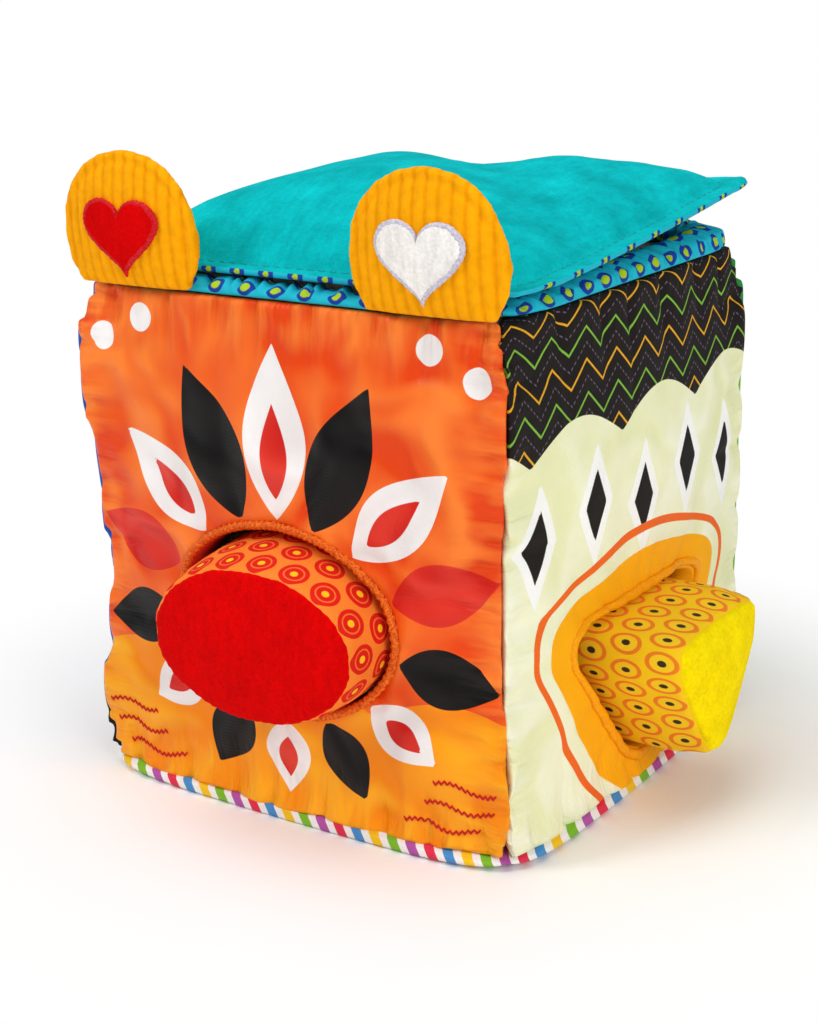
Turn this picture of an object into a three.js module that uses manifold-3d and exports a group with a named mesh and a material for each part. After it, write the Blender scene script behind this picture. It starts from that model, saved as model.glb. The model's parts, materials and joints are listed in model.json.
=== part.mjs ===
// A soft shape-sorter activity cube, in millimetres.
// The origin is the middle of the flat base, +Z is up, -Y is the front wall and +X the right wall.
// Four padded walls with one shaped opening each stand on a padded base. A stuffed block fills each opening,
// a plush lid closes the mouth, and two corduroy ear tabs stand in the front top seam.

import * as THREE from 'three';
import * as BufferGeometryUtils from 'three/addons/utils/BufferGeometryUtils.js';
import Module from 'manifold-3d';

const wasm = await Module();
wasm.setup();

// Cloth and the clear space between pieces that touch
const PIECE_GAP = 0.3;
const COVER_CLOTH = 1.4;
const LINING_CLOTH = 1.2;
const BLOCK_CLOTH = 1.2;
const EAR_CLOTH = 1.1;

// Body
const BODY_WIDTH = 180;
const BODY_HEIGHT = 184;
const WALL_THICKNESS = 14;
const FRONT_LEFT_WAIST = 5;
const FRONT_RIGHT_WAIST = 7;
const BACK_RIGHT_WAIST = 1;
const BACK_LEFT_WAIST = 4;
const WAIST_HEIGHT = 86;
const WAIST_REACH = 62;
const HEAD_CORNER_RADIUS = 5;
const FOOT_CORNER_RADIUS = 18;
const FOOT_EDGE_RADIUS = 9;
const BASE_SEAM_HEIGHT = 4;
const BASE_BOARD_THICKNESS = 6;

// Openings and the blocks that fill them: each opening's half sizes and the height of its middle
const BINDING_LIP = 4;
const BINDING_LIP_HEIGHT = 1.6;
const BINDING_CLOTH = 1.2;
const OVAL_HALF_WIDTH = 44;
const OVAL_HALF_HEIGHT = 32.2;
const OVAL_MIDDLE_HEIGHT = 74.7;
const TRIANGLE_TOP_REACH = 24;
const TRIANGLE_SIDE_REACH = 27;
const TRIANGLE_SIDE_TILT_DEGREES = 39;
const TRIANGLE_MIDDLE_HEIGHT = 48;
const SQUARE_HALF_SIZE = 33;
const SQUARE_MIDDLE_HEIGHT = 60;
const ROUND_RADIUS = 34;
const ROUND_MIDDLE_HEIGHT = 64;

const FRONT_PUFF = 3;
const RIGHT_PUFF = 1;
const BACK_PUFF = 2;
const LEFT_PUFF = 1.5;

const OVAL_BLOCK_CLEARANCE = 2;
const TRIANGLE_BLOCK_CLEARANCE = 0.7;
const SQUARE_BLOCK_CLEARANCE = 0.8;
const ROUND_BLOCK_CLEARANCE = 0.8;
const BLOCK_LENGTH = 52;
const BLOCK_FACE_CROWN = 6;
const BLOCK_BACK_CROWN = 3;
const BLOCK_DRAW_IN = 2;
const BLOCK_SEAT_GAP = 0.65;
const FRONT_BLOCK_STAND_OUT = 22;
const RIGHT_BLOCK_STAND_OUT = 30;
const HIDDEN_BLOCK_STAND_OUT = 20;
const FRONT_BLOCK_YAW_DEGREES = 5;
const FRONT_BLOCK_PITCH_DEGREES = 3;

// Sound makers inside the blocks
const SQUEAKER_RADIUS = 14;
const SQUEAKER_DEPTH = 12;
const SQUEAKER_NECK_RADIUS = 4;
const SQUEAKER_NECK_LENGTH = 5;
const RATTLE_RADIUS = 9;
const RATTLE_LENGTH = 28;
const BELL_RADIUS = 11;
const CRINKLE_WIDTH = 36;
const CRINKLE_HEIGHT = 30;
const CRINKLE_PITCH = 6;
const CRINKLE_DEPTH = 3;
const CRINKLE_FILM = 1;

// Mouth collar
const COLLAR_INSET = 2.6;
const COLLAR_WIDTH = 14;
const COLLAR_FRONT_HEIGHT = 6;
const COLLAR_BACK_HEIGHT = 10;
const COLLAR_GATHER_DEPTH = 0.9;
const COLLAR_GATHERS = 16;

// Lid
const LID_LEFT_INSET = 2.6;
const LID_RIGHT_OVERHANG = 2;
const LID_FRONT_INSET = 5.4;
const LID_BACK_OVERHANG = 1;
const LID_CLOTH = 1.2;
const LID_FLANGE = 8;
const LID_CROWN = 27;
const LID_CORNER_LIFT = 13;
const LID_CREASE_DEPTH = 6;
const LID_CREASE_OFFSET = 38;
const LID_CREASE_WIDTH = 22;
const HINGE_STRIP_LENGTH = 110;
const HINGE_STRIP_DROP = 9;
const HINGE_STRIP_CLOTH = 1;

// Ears
const EAR_RADIUS = 30;
const EAR_BASE_WIDTH = 48;
const EAR_FRONT_CROWN = 5.5;
const EAR_BACK_CROWN = 4;
const EAR_LEAN_DEGREES = 4;
const LEFT_EAR_FROM_CORNER = 32.5;
const RIGHT_EAR_FROM_CORNER = 28;
const EAR_SEAM_INSET = 0.6;
const HEART_WIDTH = 33;
const HEART_HEIGHT = 31;
const HEART_CLOTH = 1;
const HEART_RISE = 2;

// Shares and counts
const PANEL_HEIGHT_shares = [0, 0.035, 0.09, 0.22, 0.4, 0.6, 0.8, 0.93];
const PANEL_ACROSS_shares = [-1, -0.75, -0.5, -0.25, 0, 0.25, 0.5, 0.75];
const PANEL_RING_shares = [0, 0.34, 0.7, 1];
const PANEL_CROWN_POWER = 2.6;
const PUFF_POWER = 0.7;
const BINDING_TOP_share = 0.6;
const BASE_RIM_share = 1 / 3;
const TRIANGLE_BLOCK_NARROW_share = 0.16;
const BLOCK_SHOULDER_share = 0.5;
const SOFT_OVAL = 2;
const SOFT_TRIANGLE = 3;
const SOFT_SQUARE = 5;
const MOUTH_HARDNESS = 9;
const LID_HARDNESS = 16;
const COLLAR_STEPS = COLLAR_GATHERS * 4;
const LID_STEPS = 40;
const LID_LIFT_POWER = 1.5;
const LID_PILLOW_POWER = 2.4;
const LID_FULLNESS_POWER = 0.75;
const LID_CROWN_FALL_share = 0.3;
const BLOCK_STEPS = 20;
const EAR_STEPS = 20;
const EAR_BULGE_POWER = 3.5;
const HEART_STEPS = 24;
const HEART_RING_shares = [0.5, 1];
const HEART_WAVE_shares = [13 / 17, -5 / 17, -2 / 17, -1 / 17];
const TURNED_STEPS = 14;
const FIRST_CORNER_share = 3 / 8;
const BELL_RINGS = 8;
const RATTLE_END_share = 0.6;
const RATTLE_BEVEL_share = 0.35;

const HALF = BODY_WIDTH / 2;
const INNER_HALF = HALF - WALL_THICKNESS;
const LINING_HALF = INNER_HALF + LINING_CLOTH;
const MITRE_GAP = PIECE_GAP / Math.SQRT2;
const FULL_TURN = 2 * Math.PI;
const RIGHT_ANGLE = Math.PI / 2;
const UP = new THREE.Vector3(0, 0, 1);
const LINING_FLOOR_BOTTOM = COVER_CLOTH + BASE_BOARD_THICKNESS + 2 * PIECE_GAP;

const radians = THREE.MathUtils.degToRad;
const mix = THREE.MathUtils.lerp;

// Materials, one for each cloth
function cloth(hex, roughness = 0.9) {
  return new THREE.MeshStandardMaterial({ color: new THREE.Color(hex), roughness, metalness: 0 });
}

const BELL_FINISH = { color: new THREE.Color('#c9ccd0'), roughness: 0.25, metalness: 1 };

const MATERIALS = {
  orangeSatin: cloth('#f9722b', 0.45),
  creamCotton: cloth('#edf0c8'),
  blueCotton: cloth('#1e5ab8'),
  greenCotton: cloth('#7dbb2b'),
  wadding: cloth('#f4f2ea', 1),
  stripedCotton: cloth('#f3f1ee'),
  lining: cloth('#f0ead2'),
  turquoiseCotton: cloth('#17b6cc'),
  tealPlush: cloth('#00b9bc', 1),
  corduroy: cloth('#ffa800', 1),
  redPlush: cloth('#d80508', 1),
  whitePlush: cloth('#f5f3ef', 1),
  amberCotton: cloth('#ffb000'),
  yellowPlush: cloth('#ffe600', 1),
  bluePlush: cloth('#2b6fd0', 1),
  greenPlush: cloth('#6fb52c', 1),
  orangePrint: cloth('#f36a1e'),
  yellowPrint: cloth('#f4c50a'),
  soundPlastic: cloth('#dfe4e8', 0.35),
  bellMetal: new THREE.MeshStandardMaterial(BELL_FINISH),
};

// A softened polygon: sides as outward angles and distances from its middle. A harder one is sharper.
function outline(hardness, ...sides) {
  const turned = sides.map(([degrees, distance]) => ({ angle: radians(degrees), distance }));
  return { hardness, sides: turned };
}

function fourSided(hardness, halfWidth, halfHeight) {
  const sides = [[0, halfWidth], [90, halfHeight], [180, halfWidth], [270, halfHeight]];
  return outline(hardness, ...sides);
}

function grow(shape, by) {
  const sides = shape.sides.map((side) => ({ ...side, distance: side.distance + by }));
  return { hardness: shape.hardness, sides };
}

function edgeDistance(shape, angle) {
  let sum = 0;
  for (const side of shape.sides) {
    const facing = Math.cos(angle - side.angle);
    if (facing > 0) sum += (facing / side.distance) ** shape.hardness;
  }
  return sum ** (-1 / shape.hardness);
}

// Where a point lies between the middle (0) and the edge (1) of a softened polygon
function edgeShare(shape, x, y) {
  const distance = Math.hypot(x, y);
  return distance === 0 ? 0 : distance / edgeDistance(shape, Math.atan2(y, x));
}

// A closed solid skinned over rings of equal point counts. It wraps round to its first ring, or ends in
// two apexes. Quads from ring mirroredFrom on take the other diagonal, so that nested skins match.
function loft(rings, { apexes = null, mirroredFrom = Infinity } = {}) {
  const count = rings[0].length;
  const points = rings.flat();
  const triangles = [];
  const pairs = apexes ? rings.length - 1 : rings.length;
  for (let ring = 0; ring < pairs; ring += 1) {
    const here = ring * count;
    const there = ((ring + 1) % rings.length) * count;
    for (let step = 0; step < count; step += 1) {
      const next = (step + 1) % count;
      const quad = [here + step, here + next, there + next, there + step];
      if (ring < mirroredFrom) triangles.push([quad[0], quad[1], quad[2]], [quad[0], quad[2], quad[3]]);
      else triangles.push([quad[0], quad[1], quad[3]], [quad[1], quad[2], quad[3]]);
    }
  }
  if (apexes) {
    const first = points.push(apexes[0]) - 1;
    const last = points.push(apexes[1]) - 1;
    const lastRing = (rings.length - 1) * count;
    for (let step = 0; step < count; step += 1) {
      const next = (step + 1) % count;
      triangles.push([first, next, step], [last, lastRing + step, lastRing + next]);
    }
  }
  return facingOut(points, triangles);
}

function facingOut(points, triangles) {
  let volume = 0;
  for (const [a, b, c] of triangles) volume += points[a].dot(points[b].clone().cross(points[c]));
  const geometry = new THREE.BufferGeometry();
  geometry.setAttribute('position', new THREE.Float32BufferAttribute(points.flatMap((p) => p.toArray()), 3));
  geometry.setIndex(triangles.flatMap(([a, b, c]) => (volume > 0 ? [a, b, c] : [a, c, b])));
  return geometry;
}

// Shared vertices merged, slivers dropped and faces turned outward
function closed(geometry) {
  const bare = geometry.clone();
  bare.deleteAttribute('normal');
  bare.deleteAttribute('uv');
  const merged = BufferGeometryUtils.mergeVertices(bare);
  const position = merged.attributes.position;
  const points = [];
  for (let index = 0; index < position.count; index += 1) {
    points.push(new THREE.Vector3().fromBufferAttribute(position, index));
  }
  const triangles = [];
  for (let index = 0; index < merged.index.count; index += 3) {
    const [a, b, c] = [0, 1, 2].map((corner) => merged.index.getX(index + corner));
    if (a !== b && b !== c && c !== a) triangles.push([a, b, c]);
  }
  return facingOut(points, triangles);
}

function toSolid(geometry) {
  const merged = closed(geometry);
  return new wasm.Manifold(new wasm.Mesh({
    numProp: 3,
    vertProperties: new Float32Array(merged.attributes.position.array),
    triVerts: new Uint32Array(merged.index.array),
  }));
}

function toGeometry(solid) {
  const mesh = solid.getMesh();
  const geometry = new THREE.BufferGeometry();
  geometry.setAttribute('position', new THREE.BufferAttribute(mesh.vertProperties, 3));
  geometry.setIndex(new THREE.BufferAttribute(mesh.triVerts, 1));
  return geometry;
}

const cube = new THREE.Group();

function place(parent, name, geometry, material) {
  const mesh = new THREE.Mesh(geometry, material);
  mesh.name = name;
  parent.add(mesh);
  return mesh;
}

const TRIANGLE_SIDES = [
  [-TRIANGLE_SIDE_TILT_DEGREES, TRIANGLE_SIDE_REACH],
  [180 + TRIANGLE_SIDE_TILT_DEGREES, TRIANGLE_SIDE_REACH],
];

// The four walls, as seen from outside: across runs to the right, and out is counted from the cube's middle
const WALLS = [
  {
    name: 'front', turn: 0, waists: [FRONT_LEFT_WAIST, FRONT_RIGHT_WAIST], puff: FRONT_PUFF,
    cover: MATERIALS.orangeSatin, binding: MATERIALS.amberCotton,
    shape: fourSided(SOFT_OVAL, OVAL_HALF_WIDTH, OVAL_HALF_HEIGHT), middle: OVAL_MIDDLE_HEIGHT,
    clearance: OVAL_BLOCK_CLEARANCE, standOut: FRONT_BLOCK_STAND_OUT, narrow: 0,
    yaw: FRONT_BLOCK_YAW_DEGREES, pitch: FRONT_BLOCK_PITCH_DEGREES,
    block: 'oval_block', face: MATERIALS.redPlush, gusset: MATERIALS.orangePrint,
  },
  {
    name: 'right', turn: RIGHT_ANGLE, waists: [FRONT_RIGHT_WAIST, BACK_RIGHT_WAIST], puff: RIGHT_PUFF,
    cover: MATERIALS.creamCotton, binding: MATERIALS.amberCotton,
    shape: outline(SOFT_TRIANGLE, [90, TRIANGLE_TOP_REACH], ...TRIANGLE_SIDES),
    middle: TRIANGLE_MIDDLE_HEIGHT, clearance: TRIANGLE_BLOCK_CLEARANCE, standOut: RIGHT_BLOCK_STAND_OUT,
    narrow: TRIANGLE_BLOCK_NARROW_share, yaw: 0, pitch: 0,
    block: 'triangle_block', face: MATERIALS.yellowPlush, gusset: MATERIALS.yellowPrint,
  },
  {
    name: 'back', turn: 2 * RIGHT_ANGLE, waists: [BACK_RIGHT_WAIST, BACK_LEFT_WAIST], puff: BACK_PUFF,
    cover: MATERIALS.greenCotton,
    binding: MATERIALS.turquoiseCotton,
    shape: fourSided(SOFT_OVAL, ROUND_RADIUS, ROUND_RADIUS), middle: ROUND_MIDDLE_HEIGHT,
    clearance: ROUND_BLOCK_CLEARANCE, standOut: HIDDEN_BLOCK_STAND_OUT, narrow: 0, yaw: 0, pitch: 0,
    block: 'round_block', face: MATERIALS.greenPlush, gusset: MATERIALS.stripedCotton,
  },
  {
    name: 'left', turn: 3 * RIGHT_ANGLE, waists: [BACK_LEFT_WAIST, FRONT_LEFT_WAIST], puff: LEFT_PUFF,
    cover: MATERIALS.blueCotton, binding: MATERIALS.amberCotton,
    shape: fourSided(SOFT_SQUARE, SQUARE_HALF_SIZE, SQUARE_HALF_SIZE), middle: SQUARE_MIDDLE_HEIGHT,
    clearance: SQUARE_BLOCK_CLEARANCE, standOut: HIDDEN_BLOCK_STAND_OUT, narrow: 0, yaw: 0, pitch: 0,
    block: 'square_block', face: MATERIALS.bluePlush, gusset: MATERIALS.yellowPrint,
  },
];

// How far a quarter-round foot of this radius draws in at this height
function footDrop(radius, height) {
  const below = Math.max(0, radius - height);
  return radius - Math.sqrt(radius * radius - below * below);
}

function risen(height) {
  return Math.sin(Math.PI * THREE.MathUtils.clamp(height / BODY_HEIGHT, 0, 1));
}

function pinch(height) {
  const share = Math.min(1, Math.abs(height - WAIST_HEIGHT) / WAIST_REACH);
  return Math.cos(RIGHT_ANGLE * share) ** 2;
}

// Half the width at the seam on this side of a wall: negative across is its left seam, positive its right
function seamHalf(wall, across, height) {
  const waist = across < 0 ? wall.waists[0] : wall.waists[1];
  const rounding = footDrop(FOOT_CORNER_RADIUS, height) + footDrop(HEAD_CORNER_RADIUS, BODY_HEIGHT - height);
  return HALF - waist * pinch(height) - rounding;
}

function middleHalf(height, puff) {
  return HALF + puff * risen(height) ** PUFF_POWER - footDrop(FOOT_EDGE_RADIUS, height);
}

function outwardAt(wall, across, height) {
  const seam = seamHalf(wall, across, height);
  const share = Math.min(1, Math.abs(across) / seam);
  return mix(seam, middleHalf(height, wall.puff), 1 - share ** PANEL_CROWN_POWER);
}

function wallPoint(across, height, out) {
  return new THREE.Vector3(across, -out, height);
}

// The panel's edge, as shares: up the right seam, back along the top, down the left seam and along the foot
function panelEdgeShares() {
  const foot = PANEL_ACROSS_shares.map((across) => [across, 0]);
  const right = PANEL_HEIGHT_shares.map((height) => [1, height]);
  const top = PANEL_ACROSS_shares.map((across) => [-across, 1]);
  const left = PANEL_HEIGHT_shares.map((_, index) => [-1, index === 0 ? 1 : PANEL_HEIGHT_shares.at(-index)]);
  return [...foot, ...right, ...top, ...left];
}

const PANEL_EDGE_shares = panelEdgeShares();

// Points round a wall's opening, grown by a length, in step with the points round the panel's edge
function openingPoints(wall, by) {
  const shape = grow(wall.shape, by);
  return PANEL_EDGE_shares.map((edge, index) => {
    const angle = FULL_TURN * (index / PANEL_EDGE_shares.length - FIRST_CORNER_share);
    const distance = edgeDistance(shape, angle);
    return new THREE.Vector2(distance * Math.cos(angle), wall.middle + distance * Math.sin(angle));
  });
}

// One ring round a wall's opening, a share of the way to the panel's edge. depth is counted in from the skin.
function wallRing(wall, share, depth, flat = null) {
  const opening = openingPoints(wall, BINDING_CLOTH + PIECE_GAP);
  return PANEL_EDGE_shares.map(([acrossShare, heightShare], index) => {
    const edgeHeight = mix(BASE_SEAM_HEIGHT, BODY_HEIGHT, heightShare);
    const reach = flat ?? seamHalf(wall, acrossShare, edgeHeight) - depth;
    const across = mix(opening[index].x, acrossShare * (reach - MITRE_GAP), share);
    const height = mix(opening[index].y, edgeHeight, share);
    const seam = seamHalf(wall, across, height);
    const out = flat ?? outwardAt(wall, across * seam / (seam - depth), height) - depth;
    return wallPoint(across, height, out);
  });
}

function panelCover(wall) {
  const out = PANEL_RING_shares.map((share) => wallRing(wall, share, 0));
  const back = PANEL_RING_shares.map((share) => wallRing(wall, share, COVER_CLOTH)).reverse();
  return loft([...out, ...back], { mirroredFrom: out.length });
}

function panelWadding(wall) {
  const flat = LINING_HALF + PIECE_GAP;
  const out = PANEL_RING_shares.map((share) => wallRing(wall, share, COVER_CLOTH + PIECE_GAP));
  const flats = [wallRing(wall, 1, 0, flat), wallRing(wall, 0, 0, flat)];
  return loft([...out, ...flats]);
}

// The facing that lines an opening from the lining to a rolled lip on the cover
function openingBinding(wall) {
  const section = [
    { by: 0, lift: PIECE_GAP + BINDING_LIP_HEIGHT },
    { by: BINDING_LIP * BINDING_TOP_share, lift: PIECE_GAP + BINDING_LIP_HEIGHT },
    { by: BINDING_LIP, lift: PIECE_GAP },
    { by: BINDING_CLOTH, lift: PIECE_GAP },
    { by: BINDING_CLOTH, out: INNER_HALF },
    { by: 0, out: INNER_HALF },
  ];
  return loft(section.map(({ by, lift, out }) => (
    openingPoints(wall, by).map(({ x, y }) => wallPoint(x, y, out ?? outwardAt(wall, x, y) + lift)))));
}

// A closed plan ring round all four walls at one height
function planRing(height, inset) {
  return WALLS.flatMap((wall) => PANEL_ACROSS_shares.map((share) => {
    const seam = seamHalf(wall, share, height);
    const out = outwardAt(wall, share * seam, height) - inset;
    return wallPoint(share * (seam - inset), height, out).applyAxisAngle(UP, wall.turn);
  }));
}

function baseCover() {
  const rim = BASE_SEAM_HEIGHT - PIECE_GAP;
  const rings = [
    planRing(0, 0),
    planRing(rim * BASE_RIM_share, 0),
    planRing(rim, 0),
    planRing(rim, COVER_CLOTH),
    planRing(COVER_CLOTH, COVER_CLOTH),
  ];
  return loft(rings, { apexes: [new THREE.Vector3(), new THREE.Vector3(0, 0, COVER_CLOTH)] });
}

function baseBoard() {
  const board = new THREE.BoxGeometry(2 * LINING_HALF, 2 * LINING_HALF, BASE_BOARD_THICKNESS);
  board.translate(0, 0, COVER_CLOTH + PIECE_GAP + BASE_BOARD_THICKNESS / 2);
  return board;
}

// The inner bag: an open box with the four openings cut through its walls
function innerLining() {
  const floor = LINING_FLOOR_BOTTOM;
  const height = BODY_HEIGHT - floor;
  const outer = new THREE.BoxGeometry(2 * LINING_HALF, 2 * LINING_HALF, height);
  outer.translate(0, 0, floor + height / 2);
  const inner = new THREE.BoxGeometry(2 * INNER_HALF, 2 * INNER_HALF, height);
  inner.translate(0, 0, floor + LINING_CLOTH + height / 2);
  let bag = toSolid(outer).subtract(toSolid(inner));
  for (const wall of WALLS) {
    const hole = openingPoints(wall, BINDING_CLOTH + PIECE_GAP);
    const ring = (out) => hole.map(({ x, y }) => wallPoint(x, y, out));
    const far = LINING_HALF + LINING_CLOTH;
    const near = INNER_HALF - LINING_CLOTH;
    const plug = loft([ring(near), ring(far)], {
      apexes: [wallPoint(0, wall.middle, near), wallPoint(0, wall.middle, far)],
    });
    plug.rotateZ(wall.turn);
    bag = bag.subtract(toSolid(plug));
  }
  return toGeometry(bag);
}

// Collar sections run round the mouth as rings of a softened square
function mouthRing(offset, heightShare, drop, gather = 0) {
  const reach = HALF - COLLAR_INSET - COLLAR_WIDTH / 2;
  const middle = fourSided(MOUTH_HARDNESS, reach, reach);
  const ring = [];
  for (let step = 0; step < COLLAR_STEPS; step += 1) {
    const angle = FULL_TURN * (step + 0.5) / COLLAR_STEPS;
    const fold = gather * COLLAR_GATHER_DEPTH * (1 + Math.cos(angle * COLLAR_GATHERS)) / 2;
    const distance = edgeDistance(grow(middle, offset), angle);
    const y = distance * Math.sin(angle);
    const height = collarHeight(y) * heightShare - drop - fold * heightShare;
    const floor = BODY_HEIGHT + PIECE_GAP;
    ring.push(new THREE.Vector3(distance * Math.cos(angle), y, floor + Math.max(0, height)));
  }
  return ring;
}

function collarHeight(y) {
  return mix(COLLAR_FRONT_HEIGHT, COLLAR_BACK_HEIGHT, (y + HALF) / BODY_WIDTH);
}

const ARCH_shares = [[1, 0], [0.86, 0.72], [0, 1], [-0.86, 0.72], [-1, 0]];

function collarCover() {
  const reach = COLLAR_WIDTH / 2;
  const inReach = reach - LINING_CLOTH;
  const outer = ARCH_shares.map(([across, up]) => mouthRing(across * reach, up, 0, up > 0 ? 1 : 0));
  const inner = [...ARCH_shares].reverse().map(([across, up]) => (
    mouthRing(across * inReach, up, up > 0 ? (LINING_CLOTH + COLLAR_GATHER_DEPTH) * up : 0)));
  return loft([...outer, ...inner], { mirroredFrom: outer.length });
}

function collarFilling() {
  const reach = COLLAR_WIDTH / 2 - LINING_CLOTH - PIECE_GAP;
  const drop = LINING_CLOTH + COLLAR_GATHER_DEPTH + PIECE_GAP;
  return loft(ARCH_shares.map(([across, up]) => mouthRing(across * reach, up, up > 0 ? drop * up : 0)));
}

// The lid lies tilted on the collar, which is lower at the front
const LID_MIDDLE_X = (LID_RIGHT_OVERHANG + LID_LEFT_INSET) / 2;
const LID_MIDDLE_Y = (LID_BACK_OVERHANG + LID_FRONT_INSET) / 2;
const LID_HALF_X = HALF + (LID_RIGHT_OVERHANG - LID_LEFT_INSET) / 2;
const LID_HALF_Y = HALF + (LID_BACK_OVERHANG - LID_FRONT_INSET) / 2;
const LID_OUTLINE = fourSided(LID_HARDNESS, LID_HALF_X, LID_HALF_Y);
const LID_PILLOW = grow(LID_OUTLINE, -LID_FLANGE);

function lidFloor(y) {
  return BODY_HEIGHT + collarHeight(y) + 2 * PIECE_GAP;
}

function lidLift(x, y) {
  return LID_CORNER_LIFT * THREE.MathUtils.clamp((x + y) / BODY_WIDTH, 0, 1) ** LID_LIFT_POWER;
}

function lidCrown(x, y) {
  const share = Math.min(1, edgeShare(LID_PILLOW, x - LID_MIDDLE_X, y - LID_MIDDLE_Y));
  const pillow = (1 - share ** LID_PILLOW_POWER) ** LID_FULLNESS_POWER;
  const crease = Math.exp(-(((x + y - LID_CREASE_OFFSET) / LID_CREASE_WIDTH) ** 2));
  const slope = 1 - LID_CROWN_FALL_share * THREE.MathUtils.clamp((x + y) / BODY_WIDTH, 0, 1);
  return pillow * (LID_CROWN * slope - LID_CREASE_DEPTH * crease);
}

// One ring of the lid: a share of its outline, and a height over the lid's floor, with or without the crown
function lidRing(shape, share, level, crownLoss = null) {
  const ring = [];
  for (let step = 0; step < LID_STEPS; step += 1) {
    const angle = FULL_TURN * step / LID_STEPS;
    const distance = share * edgeDistance(shape, angle);
    ring.push(lidPoint(distance * Math.cos(angle), distance * Math.sin(angle), level, crownLoss));
  }
  return ring;
}

function lidPoint(dx, dy, level, crownLoss) {
  const x = LID_MIDDLE_X + dx;
  const y = LID_MIDDLE_Y + dy;
  const crown = crownLoss === null ? 0 : Math.max(0, lidCrown(x, y) - crownLoss);
  return new THREE.Vector3(x, y, lidFloor(y) + lidLift(x, y) + level + crown);
}

const LID_RING_shares = [0.25, 0.5, 0.74, 0.9, 1];
const LID_LINING_shares = [0.5, 1];

function lidTop() {
  const level = LID_CLOTH + PIECE_GAP;
  const top = level + LID_CLOTH;
  const outer = LID_RING_shares.map((share) => lidRing(LID_PILLOW, share, top, 0));
  const inner = LID_RING_shares.map((share) => lidRing(LID_PILLOW, share, level, 0)).reverse();
  const flange = [lidRing(LID_OUTLINE, 1, top), lidRing(LID_OUTLINE, 1, level)];
  const apexes = [lidPoint(0, 0, top, 0), lidPoint(0, 0, level, 0)];
  return loft([...outer, ...flange, ...inner], { apexes, mirroredFrom: outer.length + 1 });
}

function lidFilling() {
  const inside = grow(LID_PILLOW, -PIECE_GAP);
  const level = LID_CLOTH + PIECE_GAP;
  const skin = LID_RING_shares.map((share) => lidRing(LID_PILLOW, share, level, 2 * PIECE_GAP));
  skin[skin.length - 1] = lidRing(inside, 1, level);
  return loft(skin, { apexes: [lidPoint(0, 0, level, 2 * PIECE_GAP), lidPoint(0, 0, level, null)] });
}

function lidLining() {
  const under = LID_LINING_shares.map((share) => lidRing(LID_PILLOW, share, 0));
  const over = LID_LINING_shares.map((share) => lidRing(LID_PILLOW, share, LID_CLOTH)).reverse();
  const rim = [lidRing(LID_OUTLINE, 1, 0), lidRing(LID_OUTLINE, 1, LID_CLOTH)];
  const apexes = [lidPoint(0, 0, 0, null), lidPoint(0, 0, LID_CLOTH, null)];
  return loft([...under, ...rim, ...over], { apexes, mirroredFrom: under.length + 1 });
}

// The tape that hinges the lid to the top of the left wall
function lidHingeStrip() {
  const left = WALLS.find((wall) => wall.name === 'left');
  const bottom = BODY_HEIGHT - HINGE_STRIP_DROP;
  const top = BODY_HEIGHT + COLLAR_FRONT_HEIGHT - PIECE_GAP;
  const out = outwardAt(left, 0, bottom) + PIECE_GAP;
  const strip = new THREE.BoxGeometry(HINGE_STRIP_CLOTH, HINGE_STRIP_LENGTH, top - bottom);
  strip.translate(-out - HINGE_STRIP_CLOTH / 2, 0, (top + bottom) / 2);
  return strip;
}

// Ears: round tabs cut straight at the seam. Their own frame has its origin at the middle of the base.
const EAR_CENTRE_HEIGHT = Math.sqrt(EAR_RADIUS ** 2 - (EAR_BASE_WIDTH / 2) ** 2);

function earEdge(angle) {
  const down = -Math.sin(angle);
  return down <= 0 ? EAR_RADIUS : Math.min(EAR_RADIUS, EAR_CENTRE_HEIGHT / down);
}

function earBulge(share) {
  return 1 - share ** EAR_BULGE_POWER;
}

function earRing(share, inset, offset, crown) {
  const ring = [];
  for (let step = 0; step < EAR_STEPS; step += 1) {
    const angle = FULL_TURN * step / EAR_STEPS - RIGHT_ANGLE;
    const distance = share * (earEdge(angle) - inset);
    const y = offset + crown * earBulge(share);
    const z = EAR_CENTRE_HEIGHT + distance * Math.sin(angle);
    ring.push(new THREE.Vector3(distance * Math.cos(angle), y, z));
  }
  return ring;
}

const EAR_RING_shares = [0.5, 0.85, 1];

// A dished cover on one side of the ear; side is -1 for its front and 1 for its back
function earCover(side, crown) {
  const start = side * PIECE_GAP / 2;
  const skin = start + side * EAR_CLOTH;
  const rise = side * (crown - EAR_CLOTH);
  const inner = EAR_RING_shares.map((share) => earRing(share, 2 * EAR_CLOTH, start, rise));
  const outer = EAR_RING_shares.map((share) => earRing(share, 0, skin, rise)).reverse();
  const middle = new THREE.Vector3(0, 0, EAR_CENTRE_HEIGHT);
  const apexes = [middle.clone().setY(start + rise), middle.clone().setY(side * crown + start)];
  return loft([...inner, ...outer], { apexes, mirroredFrom: inner.length });
}

function earFilling() {
  const front = EAR_FRONT_CROWN - EAR_CLOTH;
  const back = EAR_BACK_CROWN - EAR_CLOTH;
  const inset = 2 * EAR_CLOTH + PIECE_GAP;
  const shares = EAR_RING_shares.slice(0, -1);
  const frontRings = shares.map((share) => earRing(share, inset, PIECE_GAP / 2, -front));
  const backRings = shares.map((share) => earRing(share, inset, -PIECE_GAP / 2, back)).reverse();
  const rim = [earRing(1, inset, 0, 0)];
  const middle = new THREE.Vector3(0, 0, EAR_CENTRE_HEIGHT);
  const apexes = [middle.clone().setY(PIECE_GAP / 2 - front), middle.clone().setY(back - PIECE_GAP / 2)];
  return loft([...frontRings, ...rim, ...backRings], { apexes, mirroredFrom: frontRings.length + 1 });
}

// The heart curve, as shares of half its width and height: two round shoulders over a point
function heartShare(angle) {
  const x = Math.sin(angle) ** 3;
  const z = HEART_WAVE_shares.reduce((sum, share, index) => sum + share * Math.cos((index + 1) * angle), 0);
  return new THREE.Vector2(x, z);
}

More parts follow.
